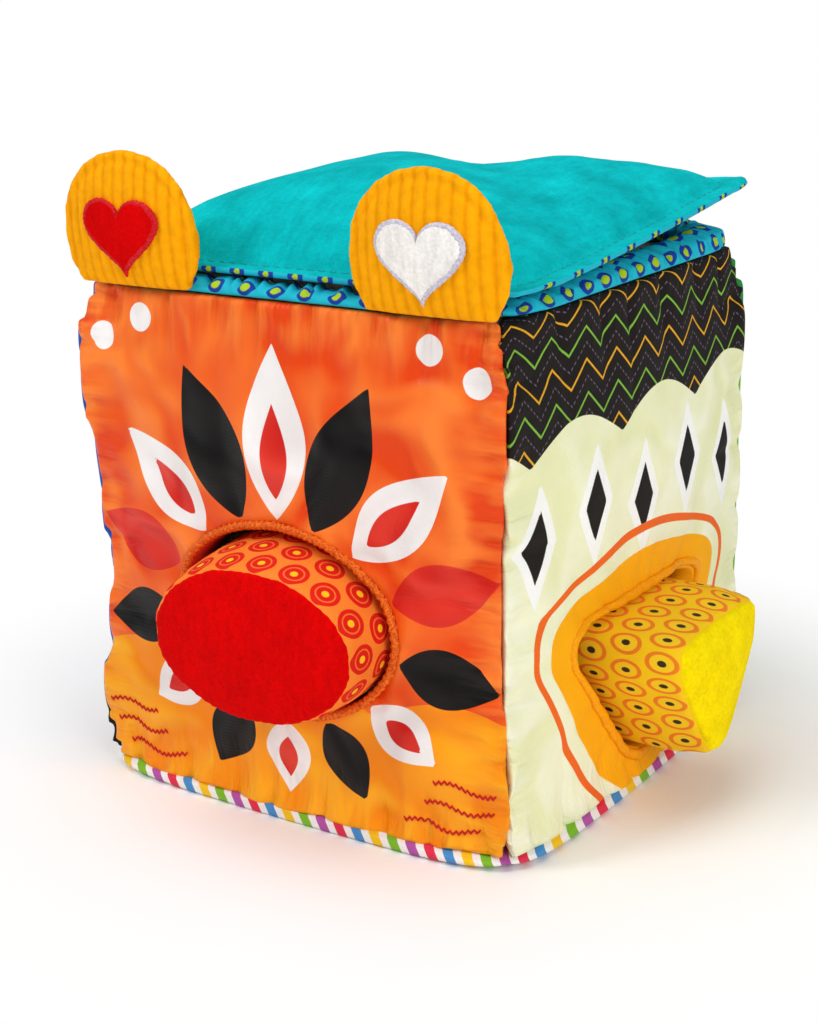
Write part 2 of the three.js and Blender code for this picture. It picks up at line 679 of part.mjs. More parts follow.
function earFrontDepth(x, z) {
  const distance = Math.hypot(x, z - EAR_CENTRE_HEIGHT);
  const share = Math.min(1, distance / earEdge(Math.atan2(z - EAR_CENTRE_HEIGHT, x)));
  return PIECE_GAP / 2 + EAR_CLOTH + (EAR_FRONT_CROWN - EAR_CLOTH) * earBulge(share);
}

function heartPatch() {
  const middleHeight = EAR_CENTRE_HEIGHT + HEART_RISE;
  const ring = (share, lift) => {
    const points = [];
    for (let step = 0; step < HEART_STEPS; step += 1) {
      const edge = heartShare(FULL_TURN * step / HEART_STEPS).multiplyScalar(share);
      const x = edge.x * HEART_WIDTH / 2;
      const z = middleHeight + edge.y * HEART_HEIGHT / 2;
      points.push(new THREE.Vector3(x, -earFrontDepth(x, z) - lift, z));
    }
    return points;
  };
  const low = PIECE_GAP;
  const high = PIECE_GAP + HEART_CLOTH;
  const apexes = [low, high].map((lift) => (
    new THREE.Vector3(0, -earFrontDepth(0, middleHeight) - lift, middleHeight)));
  const under = HEART_RING_shares.map((share) => ring(share, low));
  const over = HEART_RING_shares.map((share) => ring(share, high)).reverse();
  return loft([...under, ...over], { apexes, mirroredFrom: under.length });
}

function addEar(side, x, heartMaterial) {
  const ear = new THREE.Group();
  ear.position.set(x, -HALF + EAR_SEAM_INSET, BODY_HEIGHT + PIECE_GAP);
  ear.rotation.x = radians(EAR_LEAN_DEGREES);
  place(ear, `${side}_ear_front`, earCover(-1, EAR_FRONT_CROWN), MATERIALS.corduroy);
  place(ear, `${side}_ear_back`, earCover(1, EAR_BACK_CROWN), MATERIALS.corduroy);
  place(ear, `${side}_ear_wadding`, earFilling(), MATERIALS.wadding);
  place(ear, `${side}_ear_heart`, heartPatch(), heartMaterial);
  cube.add(ear);
}

// Blocks. Their own frame has its origin at the middle of the block's section, with -Y out of the wall.
function blockOutline(wall) {
  return grow(wall.shape, -wall.clearance);
}

function blockRing(wall, inset, out, share = 1) {
  const shape = grow(blockOutline(wall), -inset);
  const ring = [];
  for (let step = 0; step < BLOCK_STEPS; step += 1) {
    const angle = FULL_TURN * (step + 0.5) / BLOCK_STEPS;
    const distance = share * edgeDistance(shape, angle);
    ring.push(wallPoint(distance * Math.cos(angle) * (1 - wall.narrow), distance * Math.sin(angle), out));
  }
  return ring;
}

const FACE_RING_shares = [0.45, 0.8];
const BACK_RING_shares = [0.6];

function dome(share) {
  return 1 - share ** 2;
}

// An end cover: crowned cloth that meets the gusset at its seam. Crown is signed: outward for the face.
function blockEnd(wall, seamOut, crown) {
  const skin = Math.sign(crown) * BLOCK_CLOTH;
  const inset = BLOCK_DRAW_IN;
  const shares = crown > 0 ? FACE_RING_shares : BACK_RING_shares;
  const outer = shares.map((share) => blockRing(wall, inset, seamOut + skin + crown * dome(share), share));
  const inner = shares.map((share) => blockRing(wall, inset, seamOut + crown * dome(share), share)).reverse();
  const rim = [blockRing(wall, inset, seamOut + skin / 2), blockRing(wall, inset, seamOut)];
  const apexes = [wallPoint(0, 0, seamOut + skin + crown), wallPoint(0, 0, seamOut + crown)];
  return loft([...outer, ...rim, ...inner], { apexes, mirroredFrom: outer.length + 1 });
}

// The gusset is drawn in at both seams and full between its two shoulders
const GUSSET_INSETS = [BLOCK_DRAW_IN, 0, 0, BLOCK_DRAW_IN];

function gussetOuts(faceOut, backOut) {
  const middle = (faceOut + backOut) / 2;
  const shoulders = [faceOut, backOut].map((end) => mix(end, middle, BLOCK_SHOULDER_share));
  return [faceOut, ...shoulders, backOut];
}

function blockGusset(wall, faceOut, backOut) {
  const outs = gussetOuts(faceOut, backOut);
  const outer = outs.map((out, index) => blockRing(wall, GUSSET_INSETS[index], out));
  const inner = outs.map((out, index) => blockRing(wall, GUSSET_INSETS[index] + BLOCK_CLOTH, out)).reverse();
  return loft([...outer, ...inner], { mirroredFrom: outer.length });
}

function blockFilling(wall, faceOut, backOut, pocket) {
  const inset = BLOCK_CLOTH + PIECE_GAP;
  const face = FACE_RING_shares.map((share) => (
    blockRing(wall, BLOCK_DRAW_IN, faceOut - PIECE_GAP + BLOCK_FACE_CROWN * dome(share), share)));
  const side = gussetOuts(faceOut, backOut).map((out, index) => (
    blockRing(wall, GUSSET_INSETS[index] + inset, out)));
  const body = loft([...face, ...side], {
    apexes: [wallPoint(0, 0, faceOut - PIECE_GAP + BLOCK_FACE_CROWN), wallPoint(0, 0, backOut)],
  });
  return toGeometry(toSolid(body).subtract(toSolid(pocket)));
}

// Sound makers, each lying along the block's own axis with its inner end at the given place
function turned(profile, steps, backOut) {
  const points = profile.map(([radius, along]) => new THREE.Vector2(radius, along));
  const lathe = new THREE.LatheGeometry(points, steps);
  lathe.translate(0, -backOut, 0);
  return closed(lathe);
}

function squeaker(backOut, grown = 0) {
  const radius = SQUEAKER_RADIUS + grown;
  const neck = SQUEAKER_NECK_RADIUS + grown;
  const start = grown > 0 ? BLOCK_CLOTH : -PIECE_GAP;
  const shoulder = -SQUEAKER_DEPTH - grown;
  const end = shoulder - SQUEAKER_NECK_LENGTH;
  return turned([
    [0, start], [radius, start], [radius, shoulder], [neck, shoulder], [neck, end], [0, end],
  ], TURNED_STEPS, backOut);
}

function rattle(backOut, grown = 0) {
  const radius = RATTLE_RADIUS + grown;
  const start = grown > 0 ? BLOCK_CLOTH : -PIECE_GAP;
  return turned([
    [0, start], [radius * RATTLE_END_share, start], [radius, start - radius * RATTLE_BEVEL_share],
    [radius, radius * RATTLE_BEVEL_share - RATTLE_LENGTH - grown],
    [radius * RATTLE_END_share, -RATTLE_LENGTH - grown],
    [0, -RATTLE_LENGTH - grown],
  ], TURNED_STEPS, backOut);
}

// The bell is a ball; its pocket is as wide as the ball all the way from the inner end
function bell(backOut, grown = 0) {
  const radius = BELL_RADIUS + grown;
  const centre = -BELL_RADIUS - PIECE_GAP;
  const profile = grown > 0 ? [[0, BLOCK_CLOTH], [radius, BLOCK_CLOTH]] : [[0, centre + radius]];
  for (let step = 1; step < BELL_RINGS; step += 1) {
    const angle = Math.PI * step / BELL_RINGS;
    const point = [radius * Math.sin(angle), centre + radius * Math.cos(angle)];
    if (grown === 0 || angle >= RIGHT_ANGLE) profile.push(point);
  }
  profile.push([0, centre - radius]);
  return turned(profile, TURNED_STEPS, backOut);
}

// Crackle film, folded to and fro
function crinkleFilm(backOut) {
  const folds = Math.round(CRINKLE_WIDTH / CRINKLE_PITCH);
  const near = [];
  const far = [];
  for (let fold = 0; fold <= folds; fold += 1) {
    const x = (fold / folds - 0.5) * CRINKLE_WIDTH;
    const wave = fold % 2 === 0 ? 0 : CRINKLE_DEPTH;
    near.push(new THREE.Vector2(x, wave));
    far.push(new THREE.Vector2(x, wave + CRINKLE_FILM));
  }
  const film = new THREE.ExtrudeGeometry(new THREE.Shape([...near, ...far.reverse()]), {
    depth: CRINKLE_HEIGHT, bevelEnabled: false,
  });
  film.translate(0, 0, -CRINKLE_HEIGHT / 2);
  film.translate(0, -backOut - CRINKLE_DEPTH - CRINKLE_FILM - 2 * PIECE_GAP, 0);
  return film;
}

function boxPocket(backOut, width, height, depth) {
  const pocket = new THREE.BoxGeometry(width, depth + BLOCK_CLOTH, height);
  pocket.translate(0, -backOut + (BLOCK_CLOTH - depth) / 2, 0);
  return pocket;
}

function addBlock(wall) {
  const group = new THREE.Group();
  const faceOut = HALF + wall.standOut;
  const backOut = faceOut - BLOCK_LENGTH;
  const axisOut = HALF - WALL_THICKNESS / 2;
  const block = new THREE.Group();
  const lipOut = outwardAt(wall, 0, wall.middle) + PIECE_GAP + BINDING_LIP_HEIGHT;
  const seatGap = BLOCK_SEAT_GAP + (lipOut - axisOut) * Math.sin(radians(wall.pitch));
  block.position.set(0, -axisOut, wall.middle - wall.clearance + seatGap);
  block.rotation.set(radians(wall.pitch), 0, radians(wall.yaw));
  group.rotation.z = wall.turn;
  const face = faceOut - axisOut;
  const back = backOut - axisOut;
  const makers = {
    oval_block: ['squeaker', squeaker(back), squeaker(back, PIECE_GAP), MATERIALS.soundPlastic],
    triangle_block: ['rattle', rattle(back), rattle(back, PIECE_GAP), MATERIALS.soundPlastic],
    round_block: ['crinkle_film', crinkleFilm(back), boxPocket(back, CRINKLE_WIDTH + 2 * PIECE_GAP,
      CRINKLE_HEIGHT + 2 * PIECE_GAP, CRINKLE_DEPTH + CRINKLE_FILM + 3 * PIECE_GAP), MATERIALS.soundPlastic],
    square_block: ['bell', bell(back), bell(back, PIECE_GAP), MATERIALS.bellMetal],
  };
  const [makerName, maker, pocket, makerMaterial] = makers[wall.block];
  place(block, `${wall.block}_face`, blockEnd(wall, face + PIECE_GAP, BLOCK_FACE_CROWN), wall.face);
  place(block, `${wall.block}_gusset`, blockGusset(wall, face, back), wall.gusset);
  place(block, `${wall.block}_back`, blockEnd(wall, back - PIECE_GAP, -BLOCK_BACK_CROWN), wall.gusset);
  place(block, `${wall.block}_filling`, blockFilling(wall, face, back, pocket), MATERIALS.wadding);
  place(block, `${wall.block}_${makerName}`, maker, makerMaterial);
  group.add(block);
  cube.add(group);
}

for (const wall of WALLS) {
  const group = new THREE.Group();
  group.rotation.z = wall.turn;
  place(group, `${wall.name}_panel`, panelCover(wall), wall.cover);
  place(group, `${wall.name}_wadding`, panelWadding(wall), MATERIALS.wadding);
  place(group, `${wall.name}_opening_binding`, openingBinding(wall), wall.binding);
  cube.add(group);
  addBlock(wall);
}
place(cube, 'base_cover', baseCover(), MATERIALS.stripedCotton);
place(cube, 'base_board', baseBoard(), MATERIALS.wadding);
place(cube, 'inner_lining', innerLining(), MATERIALS.lining);
place(cube, 'mouth_collar', collarCover(), MATERIALS.turquoiseCotton);
place(cube, 'collar_filling', collarFilling(), MATERIALS.wadding);
place(cube, 'lid_hinge_strip', lidHingeStrip(), MATERIALS.turquoiseCotton);
place(cube, 'lid_top', lidTop(), MATERIALS.tealPlush);
place(cube, 'lid_wadding', lidFilling(), MATERIALS.wadding);
place(cube, 'lid_lining', lidLining(), MATERIALS.turquoiseCotton);
addEar('left', LEFT_EAR_FROM_CORNER - HALF, MATERIALS.redPlush);
addEar('right', HALF - RIGHT_EAR_FROM_CORNER, MATERIALS.whitePlush);

export default cube;
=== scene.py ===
# %% [markdown]
# # A padded shape-sorter cube, sewn in cloth
#
# The real object is a soft cube about 18 cm wide. Four quilted walls stand on a padded base, a plush lid covers the
# mouth, and a stuffed block stands in a shaped opening in each wall. A measured model of it already has every size
# and joint. This lesson dresses that model: each soft solid gets a stuffed, sewn and printed piece in its place.

# %% Load the measured model
import json
import math

import bmesh
import bpy
import numpy as np
from mathutils import Matrix, Vector
from mathutils.bvhtree import BVHTree


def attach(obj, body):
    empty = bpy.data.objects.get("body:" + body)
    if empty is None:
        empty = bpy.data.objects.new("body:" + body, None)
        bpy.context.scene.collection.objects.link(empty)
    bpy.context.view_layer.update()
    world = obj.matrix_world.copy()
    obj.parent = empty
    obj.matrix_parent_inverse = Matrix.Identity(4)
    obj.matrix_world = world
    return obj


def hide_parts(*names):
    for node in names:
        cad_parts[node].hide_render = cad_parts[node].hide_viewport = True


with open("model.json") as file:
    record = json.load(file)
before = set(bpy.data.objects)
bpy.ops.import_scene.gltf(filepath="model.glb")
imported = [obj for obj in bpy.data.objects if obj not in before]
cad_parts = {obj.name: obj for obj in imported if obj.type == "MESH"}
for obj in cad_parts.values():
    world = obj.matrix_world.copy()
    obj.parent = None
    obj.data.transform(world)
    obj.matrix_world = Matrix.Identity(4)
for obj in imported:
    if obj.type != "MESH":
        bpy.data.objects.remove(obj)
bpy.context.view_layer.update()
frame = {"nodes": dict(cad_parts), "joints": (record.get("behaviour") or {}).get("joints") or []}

MM = 0.001
scene = bpy.context.scene

# %% [markdown]
# ## The camera
#
# The camera stands in front of the right corner, a little above the cube. Its place and angles were solved from the
# cube's own corners, so it is written as three angles and a place. A long lens keeps the cube's edges nearly parallel.

# %% Place the camera
CAMERA_PLACE = Vector((367.47, -560.65, 295.06)) * MM
CAMERA_TURN, CAMERA_DOWN, CAMERA_ROLL = (math.radians(angle) for angle in (33.809, 17.081, -1.338))

camera = bpy.data.objects.new("camera", bpy.data.cameras.new("camera"))
scene.collection.objects.link(camera)
camera.data.lens, camera.data.sensor_width = 65.25, 36
aim = (Matrix.Rotation(CAMERA_TURN, 4, "Z") @ Matrix.Rotation(math.pi / 2 - CAMERA_DOWN, 4, "X")
       @ Matrix.Rotation(CAMERA_ROLL, 4, "Z"))
camera.matrix_world = Matrix.Translation(CAMERA_PLACE) @ aim
scene.camera = camera
print("the camera is", round(CAMERA_PLACE.length, 3), "m from the middle of the base")

# %% [markdown]
# ## Meshes as tables of points
#
# Soft shapes are easiest to work on when all points of a mesh are one table of numbers in millimetres. These helpers
# read and write such a table, copy a measured part into a new piece, and bake modifiers into a mesh. The smoothing
# after a remesh shrinks the mesh a little and swells it back, so that corners stay full. Extruded shapes are put in
# order, because the cloth simulation's result depends slightly on the order of the faces.

# %% Read, write, copy and bake
def table(items, key):
    """One row of three numbers for each item."""
    flat = np.empty(3 * len(items), np.float32)
    items.foreach_get(key, flat)
    return flat.reshape(-1, 3)


def points_of(piece):
    return table(piece.data.vertices, "co").astype(float) / MM


def normals_of(piece):
    return table(piece.data.vertex_normals, "vector").astype(float)


def move_points(piece, points):
    piece.data.vertices.foreach_set("co", (points * MM).astype(np.float32).ravel())
    piece.data.update()


def new_piece(name, shape):
    mesh = bpy.data.meshes.new(name)
    shape.to_mesh(mesh)
    shape.free()
    mesh.polygons.foreach_set("use_smooth", [True] * len(mesh.polygons))
    piece = bpy.data.objects.new(name, mesh)
    scene.collection.objects.link(piece)
    return piece


def in_order(shape):
    """The same shape, with its faces and edges in an order that is the same in each run."""
    shape.verts.index_update()
    outlines = []
    for face in shape.faces:
        numbers = [vertex.index for vertex in face.verts]
        first = numbers.index(min(numbers))
        outlines.append((numbers[first:] + numbers[:first], face.material_index))
    ordered = bmesh.new()
    copies = [ordered.verts.new(vertex.co) for vertex in shape.verts]
    for numbers, slot in sorted(outlines):
        ordered.faces.new([copies[number] for number in numbers]).material_index = slot
    shape.free()
    return ordered


def shape_of(*nodes):
    """Measured parts, copied into one bmesh and merged."""
    shape = bmesh.new()
    for node in nodes:
        shape.from_mesh(frame["nodes"][node].data)
    bmesh.ops.remove_doubles(shape, verts=shape.verts, dist=0.01 * MM)
    return shape


def bake(piece):
    """Write the modifiers' result into the piece's own mesh."""
    view = bpy.context.evaluated_depsgraph_get()
    mesh = bpy.data.meshes.new_from_object(piece.evaluated_get(view))
    piece.modifiers.clear()
    old, piece.data = piece.data, mesh
    bpy.data.meshes.remove(old)
    mesh.name = piece.name
    mesh.polygons.foreach_set("use_smooth", [True] * len(mesh.polygons))


SHRINK, SWELL = 0.5, -0.4


def remesh(piece, voxel, smoothing=2):
    step = piece.modifiers.new("even_mesh", "REMESH")
    step.mode, step.voxel_size = "VOXEL", voxel * MM
    bake(piece)
    shape = bmesh.new()
    shape.from_mesh(piece.data)
    for _ in range(smoothing):
        for factor in (SHRINK, SWELL):
            bmesh.ops.smooth_vert(shape, verts=shape.verts, factor=factor, use_axis_x=True, use_axis_y=True,
                                  use_axis_z=True)
    shape.to_mesh(piece.data)
    shape.free()


def subdivide(piece, levels=1):
    step = piece.modifiers.new("finer", "SUBSURF")
    step.levels = step.render_levels = levels
    bake(piece)


def cut(shape, place, way, tolerance=0.001):
    """Split every face that crosses the plane through this place, in mm."""
    bmesh.ops.bisect_plane(shape, geom=[*shape.verts, *shape.edges, *shape.faces], plane_co=Vector(place) * MM,
                           plane_no=Vector(way), dist=tolerance * MM)


def store(piece, name, values):
    layer = piece.data.attributes.new(name, "FLOAT", "POINT")
    layer.data.foreach_set("value", values.astype(np.float32))


def surface_of(shape):
    """A search tree for rays. It uses up the shape."""
    tree = BVHTree.FromBMesh(shape)
    shape.free()
    return tree


def piece_surface(piece):
    shape = bmesh.new()
    shape.from_mesh(piece.data)
    return surface_of(shape)


print("the helpers are ready")

# %% [markdown]
# ## The walls' own measures
#
# Each wall is drawn as seen from outside: across runs to the right, height runs up and out is counted from the middle
# of the cube. The seams between the walls draw in at the waist, where the padding is pulled tight, and the openings are
# softened polygons: an oval, a triangle, a circle and a square.

# %% Wall measures
HALF_WIDTH = 90.0
WALL_FOOT, WALL_HEAD = 4.0, 184.0
WAIST_HEIGHT, WAIST_REACH = 86.0, 62.0
FOOT_CORNER, HEAD_CORNER = 18.0, 5.0
INNER_FACE, LINING_FACE = 76.0, 77.5

WALLS = {
    "front": {"turn": 0, "waists": (5, 7), "middle": 74.7, "hardness": 2,
              "sides": ((0, 44), (90, 32.2), (180, 44), (270, 32.2))},
    "right": {"turn": 90, "waists": (7, 1), "middle": 48.0, "hardness": 3,
              "sides": ((90, 24), (-39, 27), (219, 27))},
    "back": {"turn": 180, "waists": (1, 4), "middle": 64.0, "hardness": 2,
             "sides": ((0, 34), (90, 34), (180, 34), (270, 34))},
    "left": {"turn": 270, "waists": (4, 5), "middle": 60.0, "hardness": 5,
             "sides": ((0, 33), (90, 33), (180, 33), (270, 33))},
}


def on_wall(wall, points):
    """Across, out and height of these points, as seen from outside this wall."""
    angle = math.radians(-wall["turn"])
    x = points[:, 0] * math.cos(angle) - points[:, 1] * math.sin(angle)
    y = points[:, 0] * math.sin(angle) + points[:, 1] * math.cos(angle)
    return x, -y, points[:, 2]


def off_wall(wall, across, out, height):
    angle = math.radians(wall["turn"])
    x = across * math.cos(angle) + out * math.sin(angle)
    y = across * math.sin(angle) - out * math.cos(angle)
    return np.stack([x, y, np.broadcast_to(height, x.shape)], axis=1)


def outward(wall):
    angle = math.radians(wall["turn"])
    return np.array([math.sin(angle), -math.cos(angle), 0.0])


def along_wall(wall):
    angle = math.radians(wall["turn"])
    return np.array([math.cos(angle), math.sin(angle), 0.0])


def opening_edge(wall, angle, grown=0.0):
    """How far the opening reaches from its middle in this direction."""
    total = np.zeros_like(angle)
    for degrees, distance in wall["sides"]:
        facing = np.maximum(np.cos(angle - math.radians(degrees)), 0)
        total += (facing / (distance + grown)) ** wall["hardness"]
    return total ** (-1 / wall["hardness"])


def from_opening(wall, across, height):
    rise = height - wall["middle"]
    return np.hypot(across, rise) - opening_edge(wall, np.arctan2(rise, across))


def from_seams(wall, across, height):
    """How far a place is from its wall's side seams and from its top or bottom seam."""
    pinch = np.cos(np.pi / 2 * np.minimum(1, np.abs(height - WAIST_HEIGHT) / WAIST_REACH)) ** 2
    waist = np.where(across < 0, *wall["waists"])
    below = np.clip(FOOT_CORNER - height, 0, FOOT_CORNER)
    above = np.clip(HEAD_CORNER - (WALL_HEAD - height), 0, HEAD_CORNER)
    foot = FOOT_CORNER - np.sqrt(FOOT_CORNER ** 2 - below ** 2)
    head = HEAD_CORNER - np.sqrt(HEAD_CORNER ** 2 - above ** 2)
    side = HALF_WIDTH - waist * pinch - foot - head - np.abs(across)
    return side, np.minimum(height - WALL_FOOT, WALL_HEAD - height)


print("walls:", ", ".join(WALLS))

# %% [markdown]
# ## Stuffing with the cloth simulation
#
# A stuffed piece is cloth that is held at its seams and blown up between them. Each pad starts slightly slack, its
# sewn points are pinned, and Cloth with pressure and without gravity fills it for twenty frames. A cap on how far each
# point may move keeps the pad inside the room that it has. All pads are simulated together, in one run of the frames.

# %% Stuff the pads
PADS = []


def stuff(piece, held, cap, slack=0.5, pressure=6.0):
    """held is 1 where the pad is sewn and 0 where it is free. cap is the most that a point may move, in mm."""
    rest = points_of(piece)
    cap = np.broadcast_to(cap, held.shape)
    loose = 1 - held
    move_points(piece, rest - normals_of(piece) * (loose * np.minimum(slack, cap))[:, None])
    sewn = piece.vertex_groups.new(name="sewn")
    for tenth in range(1, 11):
        chosen = np.nonzero(np.round(held * 10) == tenth)[0]
        sewn.add(chosen.tolist(), tenth / 10, "REPLACE")
    cloth = piece.modifiers.new("stuffing", "CLOTH")
    cloth.settings.quality = 4
    cloth.settings.mass = 0.05
    cloth.settings.tension_stiffness = cloth.settings.compression_stiffness = 8
    cloth.settings.shear_stiffness = 4
    cloth.settings.bending_stiffness = 0.3
    cloth.settings.vertex_group_mass = "sewn"
    cloth.settings.use_pressure = True
    cloth.settings.uniform_pressure_force = pressure
    cloth.settings.effector_weights.gravity = 0
    PADS.append((piece, rest, cap))


def fill_pads(frames=20):
    for number in range(1, frames + 1):
        scene.frame_set(number)
    view = bpy.context.evaluated_depsgraph_get()
    for piece, rest, cap in PADS:
        blown = piece.evaluated_get(view).to_mesh()
        move = table(blown.vertices, "co") / MM - rest
        length = np.linalg.norm(move, axis=1)
        kept = np.minimum(1, cap / np.maximum(length, 1e-6))
        piece.modifiers.clear()
        piece.vertex_groups.clear()
        move_points(piece, rest + move * kept[:, None])
        print(f"{piece.name}: {len(rest)} points moved by up to {length.max():.2f} mm, "
              f"{length.mean():.2f} mm on average, {np.mean(kept < 1):.0%} capped")
    PADS.clear()
    scene.frame_set(1)


print("stuffing is ready")

# %% [markdown]
# ## The four quilted walls
#
# A wall is a printed cover over wadding, sewn to the lining round its edge and round its opening. The measured solids
# give its room, so the pad starts as a copy of cover and wadding, remeshed evenly. It is pinned at its seams and on the
# lining side and is stuffed between them.

# %% Wall pads before stuffing
WALL_VOXEL, WALL_FILL, WALL_HELD = 2.7, 2.4, 11.0


def wall_pad(name, wall):
    piece = new_piece(f"{name}_wall_pad", shape_of(f"{name}_panel", f"{name}_wadding"))
    remesh(piece, WALL_VOXEL, smoothing=5)
    across, out, height = on_wall(wall, points_of(piece))
    margin = np.minimum.reduce([*from_seams(wall, across, height), from_opening(wall, across, height)])
    held = np.clip(1.25 - margin / WALL_HELD, 0, 1)
    held[out < LINING_FACE + 2.5] = 1
    stuff(piece, held, WALL_FILL * (1 - held) + 0.05, slack=1.0)
    return piece


walls = {name: wall_pad(name, wall) for name, wall in WALLS.items()}
print("wall pads:", ", ".join(walls))

# %% [markdown]
# ## The stuffed blocks
#
# Each block is a plush face and back joined by a printed gusset. The face and back seams are pulled tight by the
# stuffing, so they are pinned and the cloth swells between them. The gusset slides in its opening and may not swell.

# %% Blocks before stuffing
BLOCK_VOXEL, FACE_FILL, GUSSET_FILL, SEAM_HELD = 2.4, 2.2, 0.35, 5.0
BLOCK_WALLS = {"oval_block": "front", "triangle_block": "right", "round_block": "back", "square_block": "left"}
SLIDES = {joint["name"].removesuffix("_slide"): np.array(Vector(joint["axis"]).normalized())
          for joint in frame["joints"] if joint["name"].endswith("_slide")}


def corners_of(node):
    return points_of(frame["nodes"][node])


def block_pad(name, axis):
    piece = new_piece(f"{name}_pad", shape_of(*(f"{name}_{part}" for part in ("face", "gusset", "back", "filling"))))
    seams = (corners_of(f"{name}_face") @ axis).min(), (corners_of(f"{name}_back") @ axis).max()
    remesh(piece, BLOCK_VOXEL, smoothing=1)
    place = points_of(piece) @ axis
    near = np.minimum(np.abs(place - seams[0]), np.abs(place - seams[1]))
    held = np.clip(1.1 - near / SEAM_HELD, 0, 1)
    stuff(piece, held, np.where(place > seams[0] + 0.5, FACE_FILL, GUSSET_FILL), slack=0.8)
    return piece, seams


blocks = {name: block_pad(name, axis) for name, axis in SLIDES.items()}
print("block seams, mm along each slide:", {name: np.round(seams, 1) for name, (_, seams) in blocks.items()})

# %% [markdown]
# ## The plush lid
#
# The lid is two cloths sewn together round a thin flange, with wadding between. It starts as a flat grid that is
# extruded into a shallow box. Rays cast onto the measured lid then lift its top and bottom points into place.

# %% Lid before stuffing
LID_LEFT, LID_RIGHT, LID_FRONT, LID_BACK = -87.4, 92.0, -84.6, 91.0
LID_FLANGE, LID_HARDNESS, LID_FILL = 8.0, 16, 2.2
LID_COLUMNS, LID_ROWS, LID_TRIM = 66, 64, 0.3
LID_MIDDLE = (LID_LEFT + LID_RIGHT) / 2, (LID_FRONT + LID_BACK) / 2
LID_HALF = (LID_RIGHT - LID_LEFT) / 2, (LID_BACK - LID_FRONT) / 2


def softened(u, v):
    return (np.abs(u) ** LID_HARDNESS + np.abs(v) ** LID_HARDNESS) ** (1 / LID_HARDNESS)


def from_lid_edge(points):
    share = softened((points[:, 0] - LID_MIDDLE[0]) / LID_HALF[0], (points[:, 1] - LID_MIDDLE[1]) / LID_HALF[1])
    return (1 - share) * LID_HALF[0]


def lid_pad():
    shape = bmesh.new()
    bmesh.ops.create_grid(shape, x_segments=LID_COLUMNS, y_segments=LID_ROWS, size=1.0)
    raised = bmesh.ops.extrude_face_region(shape, geom=shape.faces[:])["geom"]
    top = {item for item in raised if isinstance(item, bmesh.types.BMVert)}
    for face in shape.faces:
        face.material_index = 0 if all(vertex in top for vertex in face.verts) else 1
    cover, lining = surface_of(shape_of("lid_top")), surface_of(shape_of("lid_lining"))
    for vertex in shape.verts:
        u, v = vertex.co.x, vertex.co.y
        shrink = max(abs(u), abs(v)) / softened(u, v) if u or v else 1.0
        x = LID_MIDDLE[0] + u * shrink * (LID_HALF[0] - LID_TRIM)
        y = LID_MIDDLE[1] + v * shrink * (LID_HALF[1] - LID_TRIM)
        tree, start, way = (cover, 300, -1) if vertex in top else (lining, 100, 1)
        hit = tree.ray_cast(Vector((x, y, start)) * MM, Vector((0, 0, way)))[0]
        hit = hit or tree.find_nearest(Vector((x, y, 196)) * MM)[0]
        vertex.co = Vector((x * MM, y * MM, hit.z))
    bmesh.ops.recalc_face_normals(shape, faces=shape.faces)
    piece = new_piece("lid_pad", in_order(shape))
    held = np.clip(1 - (from_lid_edge(points_of(piece)) - LID_FLANGE) / 8, 0, 1)
    held[normals_of(piece)[:, 2] < 0] = 1
    stuff(piece, held, LID_FILL * (1 - held) + 0.05, slack=0.8)
    return piece


lid = lid_pad()
print("lid:", len(lid.data.vertices), "points")

# %% [markdown]
# ## The ear tabs, the collar and the base
#
# The ear tabs are two rounds of corduroy sewn edge to edge and lightly filled. The collar is a soft roll of printed
# cotton round the mouth, drawn up on elastic. The base is a striped cover over flat foam. Its cloth is thinner than a
# voxel and would be torn by a remesh, so the cover's convex hull is made a full slab first.

# %% Ears, collar and base before stuffing
EAR_MIDDLES = {"left": (-57.5, 202.3), "right": (62.0, 202.3)}
EAR_RADIUS, EAR_FOOT, EAR_FILL = 30.0, 184.3, 1.0


def from_ear_rim(side, points):
    return EAR_RADIUS - np.hypot(points[:, 0] - EAR_MIDDLES[side][0], points[:, 2] - EAR_MIDDLES[side][1])


def ear_pad(side):
    parts = [f"{side}_ear_{part}" for part in ("front", "back", "wadding")]
    piece = new_piece(f"{side}_ear_pad", shape_of(*parts))
    remesh(piece, 1.6)
    points = points_of(piece)
    held = np.clip(1.1 - np.minimum(from_ear_rim(side, points), points[:, 2] - EAR_FOOT) / 6, 0, 1)
    stuff(piece, held, EAR_FILL * (1 - held) + 0.05)
    return piece


def plain_pad(name, voxel, *nodes):
    piece = new_piece(name, shape_of(*nodes))
    remesh(piece, voxel, smoothing=1)
    return piece


def base_slab():
    shape = bmesh.new()
    for place in corners_of("base_cover"):
        shape.verts.new(Vector(place) * MM)
    hull = bmesh.ops.convex_hull(shape, input=shape.verts)
    bmesh.ops.delete(shape, geom=list({*hull["geom_interior"], *hull["geom_unused"]}), context="VERTS")
    shape.from_mesh(frame["nodes"]["base_board"].data)
    bmesh.ops.remove_doubles(shape, verts=shape.verts, dist=0.01 * MM)
    piece = new_piece("base_pad", shape)
    remesh(piece, 2.6, smoothing=1)
    return piece


ears = {side: ear_pad(side) for side in EAR_MIDDLES}
collar = plain_pad("collar_roll", 1.8, "mouth_collar", "collar_filling")
base = base_slab()

fill_pads()
for piece in [*walls.values(), *(pad for pad, _ in blocks.values()), lid, *ears.values(), collar, base]:
    subdivide(piece)

# %% [markdown]
# ## Puckers and creases
#
# Sewn seams gather the cloth in small valleys that run away from the seam and fade. Each is a narrow dip with a broad
# crest between, so a cosine is raised to a power. Satin also creases in long soft lines that point to the opening.
# Where two walls and the base meet, the padding is packed tightest, so the corners are filled out last.

